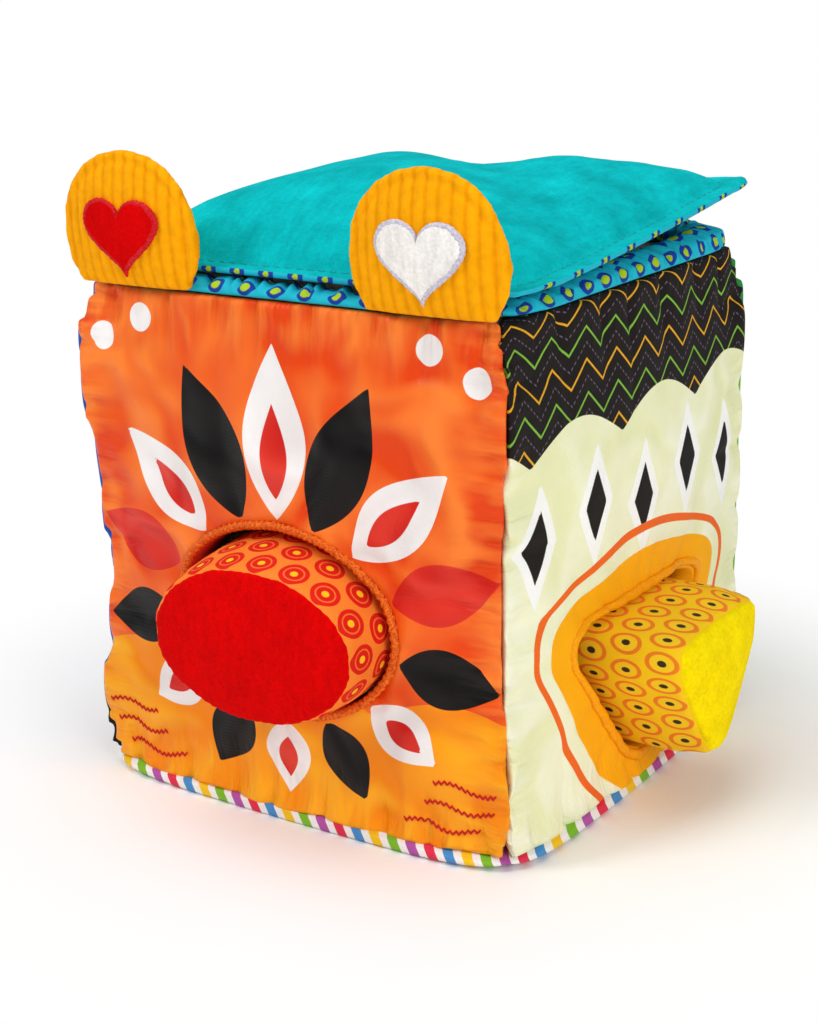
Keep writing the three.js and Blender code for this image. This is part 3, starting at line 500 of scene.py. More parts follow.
# %% Puckers along the seams
def dips(place, spacing, sharpness=3, wander=0.9):
    """1 in each valley and 0 between, with valleys a little unevenly spaced."""
    turn = place / spacing
    phase = 2 * np.pi * turn + wander * np.sin(1.7 * turn + 0.4) + wander * 0.6 * np.sin(4.1 * turn + 1.0)
    return (0.5 + 0.5 * np.cos(phase)) ** sharpness


def crease(across, height, start, end, width):
    """1 along a line from start to end, fading at its ends and sides."""
    run = np.subtract(end, start)
    length = float(np.hypot(*run))
    t = ((across - start[0]) * run[0] + (height - start[1]) * run[1]) / length ** 2
    side = ((across - start[0]) * run[1] - (height - start[1]) * run[0]) / length
    return np.clip(1 - np.abs(2 * t - 1), 0, 1) ** 0.6 * np.exp(-(side / width) ** 2)


PUCKERS = {
    "front": {"spacing": 23, "depth": 2.8, "reach": 14, "rough": 0.3},
    "right": {"spacing": 27, "depth": 3.2, "reach": 17, "rough": 0.15},
    "back": {"spacing": 24, "depth": 1.8, "reach": 14, "rough": 0.3},
    "left": {"spacing": 22, "depth": 2.2, "reach": 12, "rough": 0.3},
}
CREASES = {
    "front": [((30, 108), (72, 142), 2.2, 5), ((-34, 106), (-76, 134), 2.0, 5), ((46, 88), (88, 104), 2.4, 4.5),
              ((47, 68), (86, 62), 2.2, 4.5), ((44, 52), (82, 36), 2.0, 5), ((-44, 90), (-86, 102), 2.2, 4.5),
              ((-46, 66), (-86, 62), 2.0, 4.5), ((-40, 46), (-76, 26), 1.8, 5), ((6, 112), (18, 162), 1.5, 5),
              ((-16, 110), (-28, 164), 1.5, 5), ((12, 38), (24, 8), 1.4, 5), ((-14, 38), (-26, 10), 1.4, 5),
              ((52, 120), (84, 168), 1.2, 5), ((-50, 118), (-82, 164), 1.2, 5), ((40, 134), (20, 176), 1.0, 6)],
    "right": [((28, 66), (56, 104), 1.1, 6), ((-28, 66), (-54, 100), 1.1, 6), ((36, 36), (78, 22), 1.1, 5),
              ((-36, 36), (-78, 24), 1.1, 5), ((-50, 60), (-84, 66), 1.0, 5), ((-10, 80), (-16, 130), 0.8, 7)],
    "back": [((30, 90), (66, 130), 1.2, 6), ((-30, 90), (-66, 128), 1.2, 6)],
    "left": [((34, 86), (70, 120), 1.2, 6), ((-34, 86), (-70, 118), 1.2, 6)],
}


# Broad and narrow valleys: how sharp, their share of the depth and their share of the reach.
VALLEYS = ((2, 0.55, 1.0), (16, 0.65, 0.75))
OPENING_DIP, OPENING_SPACING = 1.0, 13
FOOT_DROP, CORNER_REACH = 1.2, 14.0
CORNER_FILL, FOOT_FILL, HEAD_FILL = 0.3, 0.85, 3.0


def pucker_wall(name, piece):
    wall, values, points = WALLS[name], PUCKERS[name], points_of(piece)
    across, out, height = on_wall(wall, points)
    side, rim = (np.maximum(distance, 0) for distance in from_seams(wall, across, height))
    opening = from_opening(wall, across, height)
    round_opening = np.arctan2(height - wall["middle"], across) * 40
    sink = np.zeros_like(height)
    for place, distance in ((height, side), (1.1 * across + 7, rim)):
        for sharpness, share, reach in VALLEYS:
            valley = dips(place, values["spacing"], sharpness)
            sink += share * values["depth"] * valley * np.exp(-distance / (reach * values["reach"]))
    sink += OPENING_DIP * dips(round_opening, OPENING_SPACING) * np.exp(-np.maximum(opening - 4, 0) / 9)
    for start, end, depth, width in CREASES[name]:
        sink += depth * crease(across, height, start, end, width)
    sink += values["rough"] * np.sin(across / 8.1 + 1.3 * np.sin(height / 11)) * np.sin(height / 9.3 + across / 19)
    for distance, reach in ((out - LINING_FACE - 4, 4), (opening - 1.5, 4), (side + 0.8, 6), (rim + 2, 5)):
        sink *= np.clip(distance / reach, 0, 1)
    outer = np.clip((out - LINING_FACE) / 8, 0, 1)
    wavy = 0.5 * (1 + np.sin(across / 11 + 2 * np.sin(across / 37)))
    corner = np.clip(1 - side / CORNER_REACH, 0, 1)
    below, high = np.clip(FOOT_CORNER - height, 0, FOOT_CORNER), np.clip((height - 172) / 10, 0, 1)
    foot = FOOT_FILL * (FOOT_CORNER - np.sqrt(FOOT_CORNER ** 2 - below ** 2))
    points[:, 2] += outer * np.clip((20 - height) / 14, 0, 1) * (wavy - FOOT_DROP)
    points += outward(wall) * (outer * foot - sink)[:, None]
    spread = np.sign(across) * corner * outer * (CORNER_FILL + foot + HEAD_FILL * high)
    move_points(piece, points + along_wall(wall) * spread[:, None])


for name, piece in walls.items():
    pucker_wall(name, piece)
print("puckered:", ", ".join(walls))

# %% [markdown]
# ## Colours, nodes and inks
#
# Colours are written as the hex values of a paint chart and turned to linear light by one function. One more function
# adds a shader node with its settings and links, and short helpers on top of it calculate, blend two colours, make soft
# patches and raise relief. A print is a stack of inks: each ink covers the points whose distance to its outline is
# below zero, so its edge stays sharp however large the faces of the mesh are.

# %% Colour and node helpers
def linear(code):
    channels = [int(code[k:k + 2], 16) / 255 for k in (1, 3, 5)]
    return (*(c / 12.92 if c <= 0.04045 else ((c + 0.055) / 1.055) ** 2.4 for c in channels), 1.0)


def add(tree, kind, *inputs, out=0, named=None, **settings):
    """A new shader node with its settings and links. Gives the output asked for."""
    node = tree.nodes.new("ShaderNode" + kind)
    for key, value in settings.items():
        setattr(node, key, value)
    for key, value in [*enumerate(inputs), *(named or {}).items()]:
        if isinstance(value, bpy.types.NodeSocket):
            tree.links.new(value, node.inputs[key])
        elif value is not None:
            node.inputs[key].default_value = value
    return node.outputs[out] if out is not None else node


def calc(tree, operation, *inputs):
    return add(tree, "Math", *inputs, operation=operation)


def stored(tree, name):
    """The values that store() wrote on the points."""
    return add(tree, "Attribute", out="Fac", attribute_name=name)


def blend(tree, share, below, above, **settings):
    return add(tree, "Mix", named={0: share, 6: below, 7: above}, data_type="RGBA", out=2, **settings)


def patches(tree, vector, size, detail, **more):
    """Soft random patches of about this size."""
    return add(tree, "TexNoise", named={"Vector": vector, "Scale": 1 / size, "Detail": detail, **more})


def relief(tree, height, strength, depth, over=None):
    """Relief of this depth in mm, on top of another where one is given."""
    return add(tree, "Bump", named={"Height": height, "Strength": strength, "Distance": depth * MM, "Normal": over})


def start_material(name):
    """An empty material and its node tree."""
    material = bpy.data.materials.new(name)
    material.use_nodes = True
    material.node_tree.nodes.clear()
    return material, material.node_tree


def finish_material(tree, colour, bump=None, **finish):
    """finish gives the shader's other sockets by name, with underscores for spaces."""
    sockets = {key.replace("_", " "): value for key, value in finish.items()}
    surface = add(tree, "BsdfPrincipled", named={"Base Color": colour, "Normal": bump, **sockets})
    add(tree, "OutputMaterial", surface, out=None)


def place_in_mm(tree):
    spot = add(tree, "TexCoord", out="Object")
    return add(tree, "VectorMath", spot, named={"Scale": 1 / MM}, operation="SCALE")


def axes_in_mm(tree):
    spot = place_in_mm(tree)
    return [add(tree, "SeparateXYZ", spot, out=axis) for axis in "XYZ"]


def ink(tree, below, distance, colour, limit=0.0, soft=0.12):
    """colour wherever distance is under limit, over what is below."""
    inside = add(tree, "MapRange", distance, limit + soft, limit - soft)
    return blend(tree, inside, below, colour)


def mottled(tree, colour, vector, size, depth):
    """The colour, a little lighter and darker in soft patches of this size."""
    shade = add(tree, "MapRange", patches(tree, vector, size, 3.0), 0.3, 0.7, 1 - depth, 1 + depth)
    return blend(tree, 1.0, colour, shade, blend_type="MULTIPLY")


print("orange satin in linear light:", np.round(linear("#f9722b"), 3))

# %% [markdown]
# ## Woven cloth and cut pile
#
# The walls are printed polyester satin and cotton, so each thread is a small bump across and along the cloth. Satin
# floats its threads over one another, which gives it a low roughness and a sheen that runs one way. Plush and corduroy
# are cut pile: the fibres stand up, so they take no highlight but glow at grazing angles, which is what sheen is for.

# %% Weaves and piles
SATIN_THREAD, COTTON_THREAD = 0.9, 1.1


def weave(tree, u, v, thread, strength, slant=0.0, over=None):
    """Threads a real 0.3 mm apart, drawn as coarse as they need to be to show at all."""
    turn = 2 * math.pi / thread
    along = calc(tree, "MULTIPLY", calc(tree, "MULTIPLY_ADD", v, slant, u), turn)
    up = calc(tree, "MULTIPLY", v, turn * (0.35 if slant else 1.0))
    height = calc(tree, "MULTIPLY", calc(tree, "SINE", along), calc(tree, "SINE", up))
    return relief(tree, height, strength, 0.12, over)


FOLD_SIZE, SEAM_REACH, SEAM_STRENGTH = 30, 25.0, 0.9
# Creases are much longer than they are wide, so the noise runs faster along the seam than away from it.
ALONG_SEAM, AWAY_FROM_SEAM = 0.17, 0.035


def crumples(tree, across, up):
    """Soft folds everywhere, and thin creases that run in from the seams and fade within SEAM_REACH."""
    height = patches(tree, place_in_mm(tree), FOLD_SIZE, 1.0, Distortion=0.9)
    for along, seam in ((up, "side"), (across, "rim")):
        distance = stored(tree, seam)
        stretched = add(tree, "CombineXYZ", calc(tree, "MULTIPLY", along, ALONG_SEAM),
                        calc(tree, "MULTIPLY", distance, AWAY_FROM_SEAM))
        crease = patches(tree, stretched, 1.0, 2.0, Distortion=0.5)
        near = add(tree, "MapRange", distance, 0.0, SEAM_REACH, SEAM_STRENGTH, 0.0)
        height = calc(tree, "MULTIPLY_ADD", calc(tree, "SUBTRACT", crease, 0.5), near, height)
    return height


def printed(name, ground, inks, thread, strength, crumple, slant=0.0, patterns=None, **finish):
    """A woven wall cloth: a ground colour, then each ink over it, then soft crumples and the threads.

    A colour given as a pair is painted from its first colour on the low folds to its second on the high ones: painted
    shade and a painted highlight.
    """
    material, tree = start_material(name)
    across, up = stored(tree, "across"), stored(tree, "up")
    folds = crumples(tree, across, up)
    # Share of painted highlight against painted shade, taken from the height of the folds.
    painted_fold_light = add(tree, "MapRange", folds, 0.36, 0.68)

    def paint(code):
        if patterns and code in patterns:
            return patterns[code](tree, across, up)
        if isinstance(code, str):
            return linear(code)
        return blend(tree, painted_fold_light, linear(code[0]), linear(code[1]))

    colour = paint(ground)
    for layer, code in inks:
        colour = ink(tree, colour, stored(tree, layer), paint(code))
    soft = relief(tree, folds, 1.0, crumple)
    finish_material(tree, mottled(tree, colour, place_in_mm(tree), 32, 0.04),
                    weave(tree, across, up, thread, strength, slant, soft), **finish)
    return material


def plush(name, code, shade, pile=0.9):
    """Short cut pile. The fibres lean in patches, so the nap is lighter and darker over a centimetre or two."""
    material, tree = start_material(name)
    spot = place_in_mm(tree)
    nap = patches(tree, spot, 18, 3.0, Roughness=0.6)
    colour = blend(tree, add(tree, "MapRange", nap, 0.25, 0.75), linear(shade), linear(code))
    fibre = patches(tree, spot, pile, 2.0, Roughness=0.7)
    bump = relief(tree, fibre, 0.5, 0.4)
    brushed = add(tree, "VectorMath", spot, (1.0, 0.3, 0.3), operation="MULTIPLY")
    colour = mottled(tree, mottled(tree, colour, spot, pile * 1.5, 0.09), brushed, 2.5, 0.08)
    finish_material(tree, colour, bump, Roughness=0.95, Specular_IOR_Level=0.05, Sheen_Weight=0.3,
                    Sheen_Roughness=0.4, Sheen_Tint=linear(code))
    return material


print("threads are drawn", SATIN_THREAD, "and", COTTON_THREAD, "mm apart")

# %% [markdown]
# ## Repeating prints
#
# Small prints repeat on a staggered grid. In each cell the shader needs only the distance from the middle of the
# cell: rings and dots follow from that one number.

# %% Staggered spots, zigzags and stripes
def spots(tree, u, v, pitch_u, pitch_v, grow_v=1.0):
    """How far a point is from the middle of its spot, in mm."""
    row = calc(tree, "DIVIDE", v, pitch_v)
    odd = calc(tree, "FLOORED_MODULO", calc(tree, "FLOOR", row), 2.0)
    column = calc(tree, "MULTIPLY_ADD", odd, 0.5, calc(tree, "DIVIDE", u, pitch_u))
    offsets = []
    for cells, pitch in ((column, pitch_u), (row, pitch_v * grow_v)):
        part = calc(tree, "SUBTRACT", calc(tree, "FRACT", cells), 0.5)
        offsets.append(calc(tree, "MULTIPLY", part, pitch))
    flat = add(tree, "CombineXYZ", *offsets)
    return add(tree, "VectorMath", flat, operation="LENGTH", out="Value")


ZIGZAG_WIDTH, ZIGZAG_RISE, ZIGZAG_SPACING = 20.0, 8.5, 11.0


def zigzags(tree, u, v):
    """Thin lime and yellow zigzag lines on black, with dotted lines between them."""
    fold = calc(tree, "PINGPONG", u, ZIGZAG_WIDTH / 2)
    line = calc(tree, "MULTIPLY_ADD", fold, 2 * ZIGZAG_RISE / ZIGZAG_WIDTH, v)
    pair = calc(tree, "PINGPONG", line, ZIGZAG_SPACING)
    between = calc(tree, "ABSOLUTE", calc(tree, "SUBTRACT", pair, ZIGZAG_SPACING / 2))
    dash = calc(tree, "PINGPONG", u, 0.9)
    dotted = calc(tree, "MAXIMUM", calc(tree, "SUBTRACT", between, 0.32), calc(tree, "SUBTRACT", dash, 0.45))
    other = calc(tree, "SUBTRACT", ZIGZAG_SPACING, pair)
    colour = ink(tree, linear("#17120f"), dotted, linear("#6c5a70"))
    colour = ink(tree, colour, pair, linear("#7fb93c"), 0.5)
    return ink(tree, colour, other, linear("#e9a91f"), 0.5)


def spotted(tree, u, v, ground, *layers, pitch=(15.0, 11.0), **shape):
    """Rings and dots, one over the other, each given as a radius and a colour, largest first."""
    distance = spots(tree, u, v, *pitch, **shape)
    colour = linear(ground)
    for radius, code in layers:
        colour = ink(tree, colour, distance, linear(code), radius)
    return colour


def striped(tree, place, ground, codes, pitch, width):
    """Stripes of these colours in turn, with the ground between them."""
    colour = linear(ground)
    for number, code in enumerate(codes):
        shifted = calc(tree, "SUBTRACT", place, pitch * (number + 0.5))
        near = calc(tree, "PINGPONG", shifted, pitch * len(codes) / 2)
        colour = ink(tree, colour, near, linear(code), width / 2)
    return colour


print("zigzag lines are", ZIGZAG_SPACING, "mm apart")

# %% [markdown]
# ## The prints on the walls
#
# The prints are cut from simple outlines. Each outline is stored on the points of the wall as a signed distance in
# millimetres, and the shader inks everything below zero. The front has a sunflower round the oval over three hills,
# the right wall a zigzag band, diamonds and a framed triangle. The left and back walls have dots, rings and waves.

# %% Outlines of the prints
def disc(across, height, x, z, radius):
    return np.hypot(across - x, height - z) - radius


def leaf(across, height, foot, degrees, length, half_width):
    angle = math.radians(degrees)
    t = (across - foot[0]) * math.cos(angle) + (height - foot[1]) * math.sin(angle)
    side = -(across - foot[0]) * math.sin(angle) + (height - foot[1]) * math.cos(angle)
    share = np.clip(t / length, 0, 1)
    return np.abs(side) - half_width * np.sin(np.pi * share ** 0.85) + np.maximum(0, np.maximum(-t, t - length))


def nearest(*shapes):
    return np.minimum.reduce(shapes)


PETALS = ((90, "white", 60), (66, "black", 56), (114, "black", 56), (42, "white", 48), (138, "white", 48),
          (17, "red", 40), (163, "red", 40), (-9, "black", 36), (189, "black", 36), (-34, "white", 30),
          (214, "white", 30), (-62, "black", 30), (242, "black", 30), (270, "white", 28))


def front_print(across, height, opening):
    petals, cores = {"white": [], "black": [], "red": []}, []
    for degrees, kind, length in PETALS:
        angle = math.radians(degrees)
        way = np.array([math.cos(angle), math.sin(angle)])
        foot = np.array([0, WALLS["front"]["middle"]]) + way * (opening_edge(WALLS["front"], np.array([angle]))[0] + 4)
        petals[kind].append(leaf(across, height, foot, degrees, length, 7 + length / 11))
        if kind == "white":
            cores.append(leaf(across, height, foot + way * 7, degrees, length * 0.55, 3 + length / 25))
    hills = nearest(disc(across, height, -62, 8, 48), disc(across, height, 4, -8, 64), disc(across, height, 66, 10, 46))
    dots = nearest(*(disc(across, height, x, z, 5) for x, z in ((-76, 166), (-58, 174), (60, 174), (77, 165))))
    return {"hills": hills, "white": nearest(*petals["white"]), "cores": nearest(*cores),
            "black": nearest(*petals["black"]), "red": nearest(*petals["red"]), "dots": dots}


def right_print(across, height, opening):
    band = 136 + 11 * np.abs(np.cos(np.pi * (across - 12) / 58)) - height
    diamonds = nearest(*((np.abs(across + 68 - 34 * number) / 6.5 + np.abs(height - 108 - 6 * (number % 2)) / 13 - 1)
                         * 5.8 for number in range(5)))
    return {"band": band, "halo": diamonds - 4, "diamonds": diamonds, "frame": np.abs(opening - 10) - 7,
            "ring": np.abs(opening - 25) - 1.6}


def back_print(across, height, opening):
    return {"ring": np.abs(opening - 11) - 4, "ring_two": np.abs(opening - 22) - 2,
            "wave": height - 22 - 6 * np.sin(across / 14), "band": 156 + 5 * np.sin(across / 9) - height}


def left_print(across, height, opening):
    row = np.round(height / 15)
    x = (across + 9 * (row % 2) + 9) % 18 - 9
    clear = from_opening(WALLS["left"], across - x, 15 * row) > 16
    dots = np.hypot(x, height - 15 * row) - np.where(clear, 2.4, -2.0)
    return {"dots": dots, "frame": np.abs(opening - 6) - 6, "band": height - 30 - 5 * np.sin(across / 12)}


PRINTS = {"front": front_print, "right": right_print, "back": back_print, "left": left_print}
for name, draw in PRINTS.items():
    across, out, height = on_wall(WALLS[name], points_of(walls[name]))
    turned_in = np.clip(HALF_WIDTH - out, 0, 8)
    side, rim = from_seams(WALLS[name], across, height)
    store(walls[name], "side", side)
    store(walls[name], "rim", rim)
    store(walls[name], "across", across + np.sign(across) * turned_in * np.clip(1 - side / 8, 0, 1))
    store(walls[name], "up", height + turned_in * np.clip(1 - rim / 12, 0, 1) * (height > 90))
    for layer, values in draw(across, height, from_opening(WALLS[name], across, height)).items():
        store(walls[name], layer, values)
print("prints drawn on", ", ".join(PRINTS))

# %% [markdown]
# ## Dress the walls
#
# The front is printed polyester satin: long floats make it glossy, and its folds are painted a deeper and a lighter
# colour, a painted shade and a painted highlight. The other three walls are printed cotton in plain weave, which
# scatters light and stays matt; the cream right wall gets the same painted shade and highlight on its folds.
# Each pad rides on the cube's body and stands for the two measured solids that it was made from.

# %% Wall materials
def dress(piece, body, materials, replaces=()):
    for material in materials:
        piece.data.materials.append(material)
    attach(piece, body)
    if replaces:
        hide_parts(*replaces)


SATIN = {"Roughness": 0.32, "Specular_IOR_Level": 0.17}
COTTON = {"Roughness": 0.75, "Specular_IOR_Level": 0.2}

# In each colour pair, the first is the painted shade and the second the painted highlight of the folds.
wall_cloth = {
    "front": printed("printed_orange_satin", ("#ea4406", "#ff8430"),
                     [("hills", ("#f98a00", "#ffad1c")), ("red", ("#d0190f", "#ea4030")),
                      ("black", ("#040303", "#1c1918")), ("white", ("#efebe9", "#fcfaf9")),
                      ("cores", ("#d0190f", "#ea4030")), ("dots", ("#efebe9", "#fcfaf9"))],
                     SATIN_THREAD, 0.3, 4.5, slant=1.0, **SATIN),
    "right": printed("printed_cream_cotton", ("#eceebc", "#f7f8dc"),
                     [("band", "zigzags"), ("halo", "#fbfbf7"), ("diamonds", "#17120f"), ("frame", "#ffb000"),
                      ("ring", "#f36a1e")], COTTON_THREAD, 0.4, 3.2, patterns={"zigzags": zigzags}, **COTTON),
    "back": printed("printed_green_cotton", "#7dbb2b",
                    [("wave", "#f5c51c"), ("band", "#2b8c3c"), ("ring", "#f5c51c"), ("ring_two", "#f4f1ee")],
                    COTTON_THREAD, 0.4, 2.5, **COTTON),
    "left": printed("printed_blue_cotton", "#1e5ab8",
                    [("dots", "#f4f1ee"), ("frame", "#f5c51c"), ("band", "#17120f")], COTTON_THREAD, 0.4, 2.5,
                    **COTTON),
}
for name, piece in walls.items():
    dress(piece, "cube", [wall_cloth[name]], (f"{name}_panel", f"{name}_wadding"))
print("walls dressed:", ", ".join(walls))

# %% [markdown]
# ## Swept bands and stitched rolls
#
# The edge of each opening and the border of each heart are thread wound tightly over the cloth's edge. Such a roll
# is a small ring of points swept along a line. One helper extrudes a loop of edges through a list of rings. Each point
# remembers its step along the line, so a ring of any size keeps its points in order.

# %% Sweep a loop through rings
def sweep(shape, rings, closed=True):
    step = shape.verts.layers.int.get("step") or shape.verts.layers.int.new("step")
    loop = bmesh.ops.create_circle(shape, segments=len(rings[0]), radius=1.0)["verts"]
    for number, vertex in enumerate(loop):
        vertex[step] = number
        vertex.co = Vector(rings[0][number]) * MM

    def edges_in(chosen):
        edges = {edge for vertex in chosen for edge in vertex.link_edges if edge.other_vert(vertex) in chosen}
        return sorted(edges, key=lambda edge: sorted(vertex[step] for vertex in edge.verts))

    first = edges = edges_in(set(loop))
    for ring in rings[1:]:
        made = bmesh.ops.extrude_edge_only(shape, edges=edges)["geom"]
        loop = {item for item in made if isinstance(item, bmesh.types.BMVert)}
        for vertex in loop:
            vertex.co = Vector(ring[vertex[step]]) * MM
        edges = edges_in(loop)
    if closed:
        bmesh.ops.bridge_loops(shape, edges=[*first, *edges])
    else:
        bmesh.ops.holes_fill(shape, edges=shape.edges, sides=0)
    bmesh.ops.recalc_face_normals(shape, faces=shape.faces)


def roll_rings(middle, out, up, width, height, threads, slant=0.0, sides=10, ridge=0.1):
    """Rings of a roll along a closed line, ridged by its threads."""
    turn = 2 * np.pi * np.arange(len(middle)) / len(middle)
    rings = []
    for side in range(sides):
        angle = 2 * np.pi * side / sides
        swell = 1 + ridge * np.cos(threads * turn + slant * angle)
        rings.append(middle + (out * math.cos(angle) * width / 2 + up * math.sin(angle) * height / 2) * swell[:, None])
    return rings


def thread_material(name, code, shade):
    """Polyester sewing thread, laid close. It is smoother than the cloth, so each turn catches a thin light."""
    material, tree = start_material(name)
    spot = place_in_mm(tree)
    grain = patches(tree, spot, 1 / 1.4, 2.0)
    colour = blend(tree, add(tree, "MapRange", grain, 0.35, 0.65), linear(shade), linear(code))
    finish_material(tree, colour, relief(tree, grain, 0.2, 0.2), Roughness=0.5, Specular_IOR_Level=0.15)
    return material


print("sweeping is ready")

# %% [markdown]
# ## The bound openings
#
# Each opening is lined with a band of cotton that ends in an overlocked edge, rolled over the wall's cover. The band
# is swept round the opening, from the lining to the face of the wall, and the roll is swept on top of it.

# %% Facings and overlocked edges
OPENING_STEPS, FACING_CLOTH, THREAD_PITCH = 560, 1.2, 2.6
EDGES = {"front": {"threads": ("#f57a20", "#c8460f"), "width": 3.0, "height": 2.7, "ridge": 0.17},
         "right": {"threads": ("#ffae04", "#f39a00"), "width": 4.2, "height": 3.0, "ridge": 0.04},
         "back": {"threads": ("#17b6cc", "#0f9cb2"), "width": 3.6, "height": 2.8, "ridge": 0.12},
         "left": {"threads": ("#ffae04", "#f39a00"), "width": 3.6, "height": 2.8, "ridge": 0.12}}
FACINGS = {"front": "#d8341c", "right": "#ffae00", "back": "#17b6cc", "left": "#ffae00"}


def steps_along(line):
    """The length of each step of a closed line."""
    return np.linalg.norm(np.roll(line, -1, 0) - line, axis=1)


def opening_line(wall, grown, out):
    angle = 2 * np.pi * np.arange(OPENING_STEPS) / OPENING_STEPS
    distance = opening_edge(wall, angle, grown)
    across, height = distance * np.cos(angle), wall["middle"] + distance * np.sin(angle)
    return off_wall(wall, across, np.broadcast_to(out, across.shape), height)


def wall_face(name):
    """The face of this wall just outside its opening, step by step."""
    tree, wall = piece_surface(walls[name]), WALLS[name]
    start = opening_line(wall, EDGES[name]["width"], 130)
    found = [tree.ray_cast(Vector(spot) * MM, -Vector(outward(wall)))[0] for spot in start]
    faces = np.array([np.array(hit) @ outward(wall) / MM if hit else np.nan for hit in found])
    return np.where(np.isnan(faces), np.nanmean(faces), faces)


def binding(name):
    wall, face, shape = WALLS[name], wall_face(name), bmesh.new()
    sleeve = [opening_line(wall, grown, out) for grown, out in
              ((0, INNER_FACE), (0, (INNER_FACE + face) / 2), (0, face), (FACING_CLOTH, face),
               (FACING_CLOTH, INNER_FACE + 0.5))]
    sweep(shape, sleeve)
    sleeve_faces = len(shape.faces)
    edge = EDGES[name]
    middle = opening_line(wall, edge["width"] / 2, face + 0.2)
    out = opening_line(wall, edge["width"] / 2 + 1, face + 0.2) - middle
    out /= np.linalg.norm(out, axis=1)[:, None]
    threads = round(steps_along(middle).sum() / THREAD_PITCH)
    sweep(shape, roll_rings(middle, out, outward(wall)[None, :], edge["width"], edge["height"], threads, slant=1,
                            ridge=edge["ridge"]))
    for face_made in list(shape.faces)[sleeve_faces:]:
        face_made.material_index = 1
    return new_piece(f"{name}_opening_edge", in_order(shape))


def sheet_area(piece):
    return sum(face.area for face in piece.data.polygons) / 2


def plain_cotton(name, code):
    """Dyed cotton, woven plainly, with threads that run both ways."""
    material, tree = start_material(name)
    x, y, z = axes_in_mm(tree)
    finish_material(tree, mottled(tree, linear(code), place_in_mm(tree), 22, 0.05),
                    weave(tree, calc(tree, "ADD", x, y), z, COTTON_THREAD, 0.4), **COTTON)
    return material


for name, wall in WALLS.items():
    piece = binding(name)
    dress(piece, "cube", [plain_cotton(f"{name}_facing_cotton", FACINGS[name]),
                          thread_material(f"{name}_overlock_thread", *EDGES[name]["threads"])],
          (f"{name}_opening_binding",))
    length = steps_along(opening_line(wall, 0, HALF_WIDTH)).sum() * MM
    print(name, "opening:", round(length / MM), "mm round")

# %% [markdown]
# ## Dress the blocks
#
# The blocks' faces are bright plush and their gussets printed cotton. Cutting the mesh at the two seam planes gives
# a clean line between the cloths. The seam itself is a groove, with a small scallop at every stitch.

# %% Block cloths
def set_cloth(piece, u, v, period):
    """The cloth's own coordinates, in mm. Faces over the joining line keep their u on one side of it."""
    mesh = piece.data
    corner = np.empty(len(mesh.loops), np.int32)
    mesh.loops.foreach_get("vertex_index", corner)
    start = np.empty(len(mesh.polygons), np.int32)
    mesh.polygons.foreach_get("loop_start", start)
    count = np.diff(np.append(start, len(corner)))
    along = u[corner]
    highest = np.repeat(np.maximum.reduceat(along, start), count)
    along = np.where(highest - along > period / 2, along + period, along)
    layer = mesh.uv_layers.new(name="cloth")
    layer.data.foreach_set("uv", np.stack([along, v[corner]], axis=1).astype(np.float32).ravel())


def block_frame(name):
    axis = SLIDES[name]
    across = np.cross([0, 0, 1], axis)
    across /= np.linalg.norm(across)
    return corners_of(f"{name}_gusset").mean(axis=0), axis, across, np.cross(axis, across)


STITCH_SPACING, SPOT_PITCH = 4.2, 14.0


def finish_block(name, piece, seams):
    middle, axis, across, up = block_frame(name)
    shape = bmesh.new()
    shape.from_mesh(piece.data)
    for seam in seams:
        cut(shape, middle + axis * (seam - middle @ axis), axis, tolerance=0.02)
    for face in shape.faces:
        place = np.array(face.calc_center_median()) @ axis / MM
        face.material_index = 1 if seams[1] < place < seams[0] else 0
    shape.to_mesh(piece.data)
    shape.free()
    points = points_of(piece)
    local = points - middle
    x, z, place = local @ across, local @ up, points @ axis
    angle = np.arctan2(z, x)
    wall = WALLS[BLOCK_WALLS[name]]
    angles = np.linspace(-np.pi, np.pi, 721)
    edge = opening_edge(wall, angles)
    line = np.stack([edge * np.cos(angles), edge * np.sin(angles)], axis=1)
    run = np.append(0, np.cumsum(np.linalg.norm(np.diff(line, axis=0), axis=1)))
    along = np.interp(angle, angles, run)
    inward = -(across[None, :] * np.cos(angle)[:, None] + up[None, :] * np.sin(angle)[:, None])
    rim = np.hypot(x, z) / np.interp(angle, angles, edge)
    scallop = 0.5 + 0.5 * np.cos(2 * np.pi * along / STITCH_SPACING)
    for seam, side in ((seams[0], 1), (seams[1], -1)):
        groove = np.exp(-((place - seam) / 0.9) ** 2)
        pull = np.exp(-((place - seam - side * 1.5) / 2.2) ** 2) * scallop
        lip = np.exp(-((place - seam - side * 2.6) / 2.2) ** 2)
        points += inward * ((0.6 * groove + 0.35 * pull - 1.1 * lip) * np.clip((rim - 0.5) / 0.3, 0, 1))[:, None]
    move_points(piece, points)
    pitch = run[-1] / round(run[-1] / SPOT_PITCH)
    set_cloth(piece, along * SPOT_PITCH / pitch, seams[0] - place, run[-1] * SPOT_PITCH / pitch)


def gusset_cloth(name, paint):
    """Printed cotton in plain weave: matt, with a small ink pattern whose edges follow the threads."""
    material, tree = start_material(name)
    u, v = cloth_axes(tree)
    colour = mottled(tree, paint(tree, u, v), place_in_mm(tree), 24, 0.04)
    finish_material(tree, colour, weave(tree, u, v, COTTON_THREAD, 0.4), **COTTON)
    return material


def cloth_axes(tree):
    return [add(tree, "SeparateXYZ", add(tree, "UVMap", uv_map="cloth"), out=axis) for axis in "XY"]


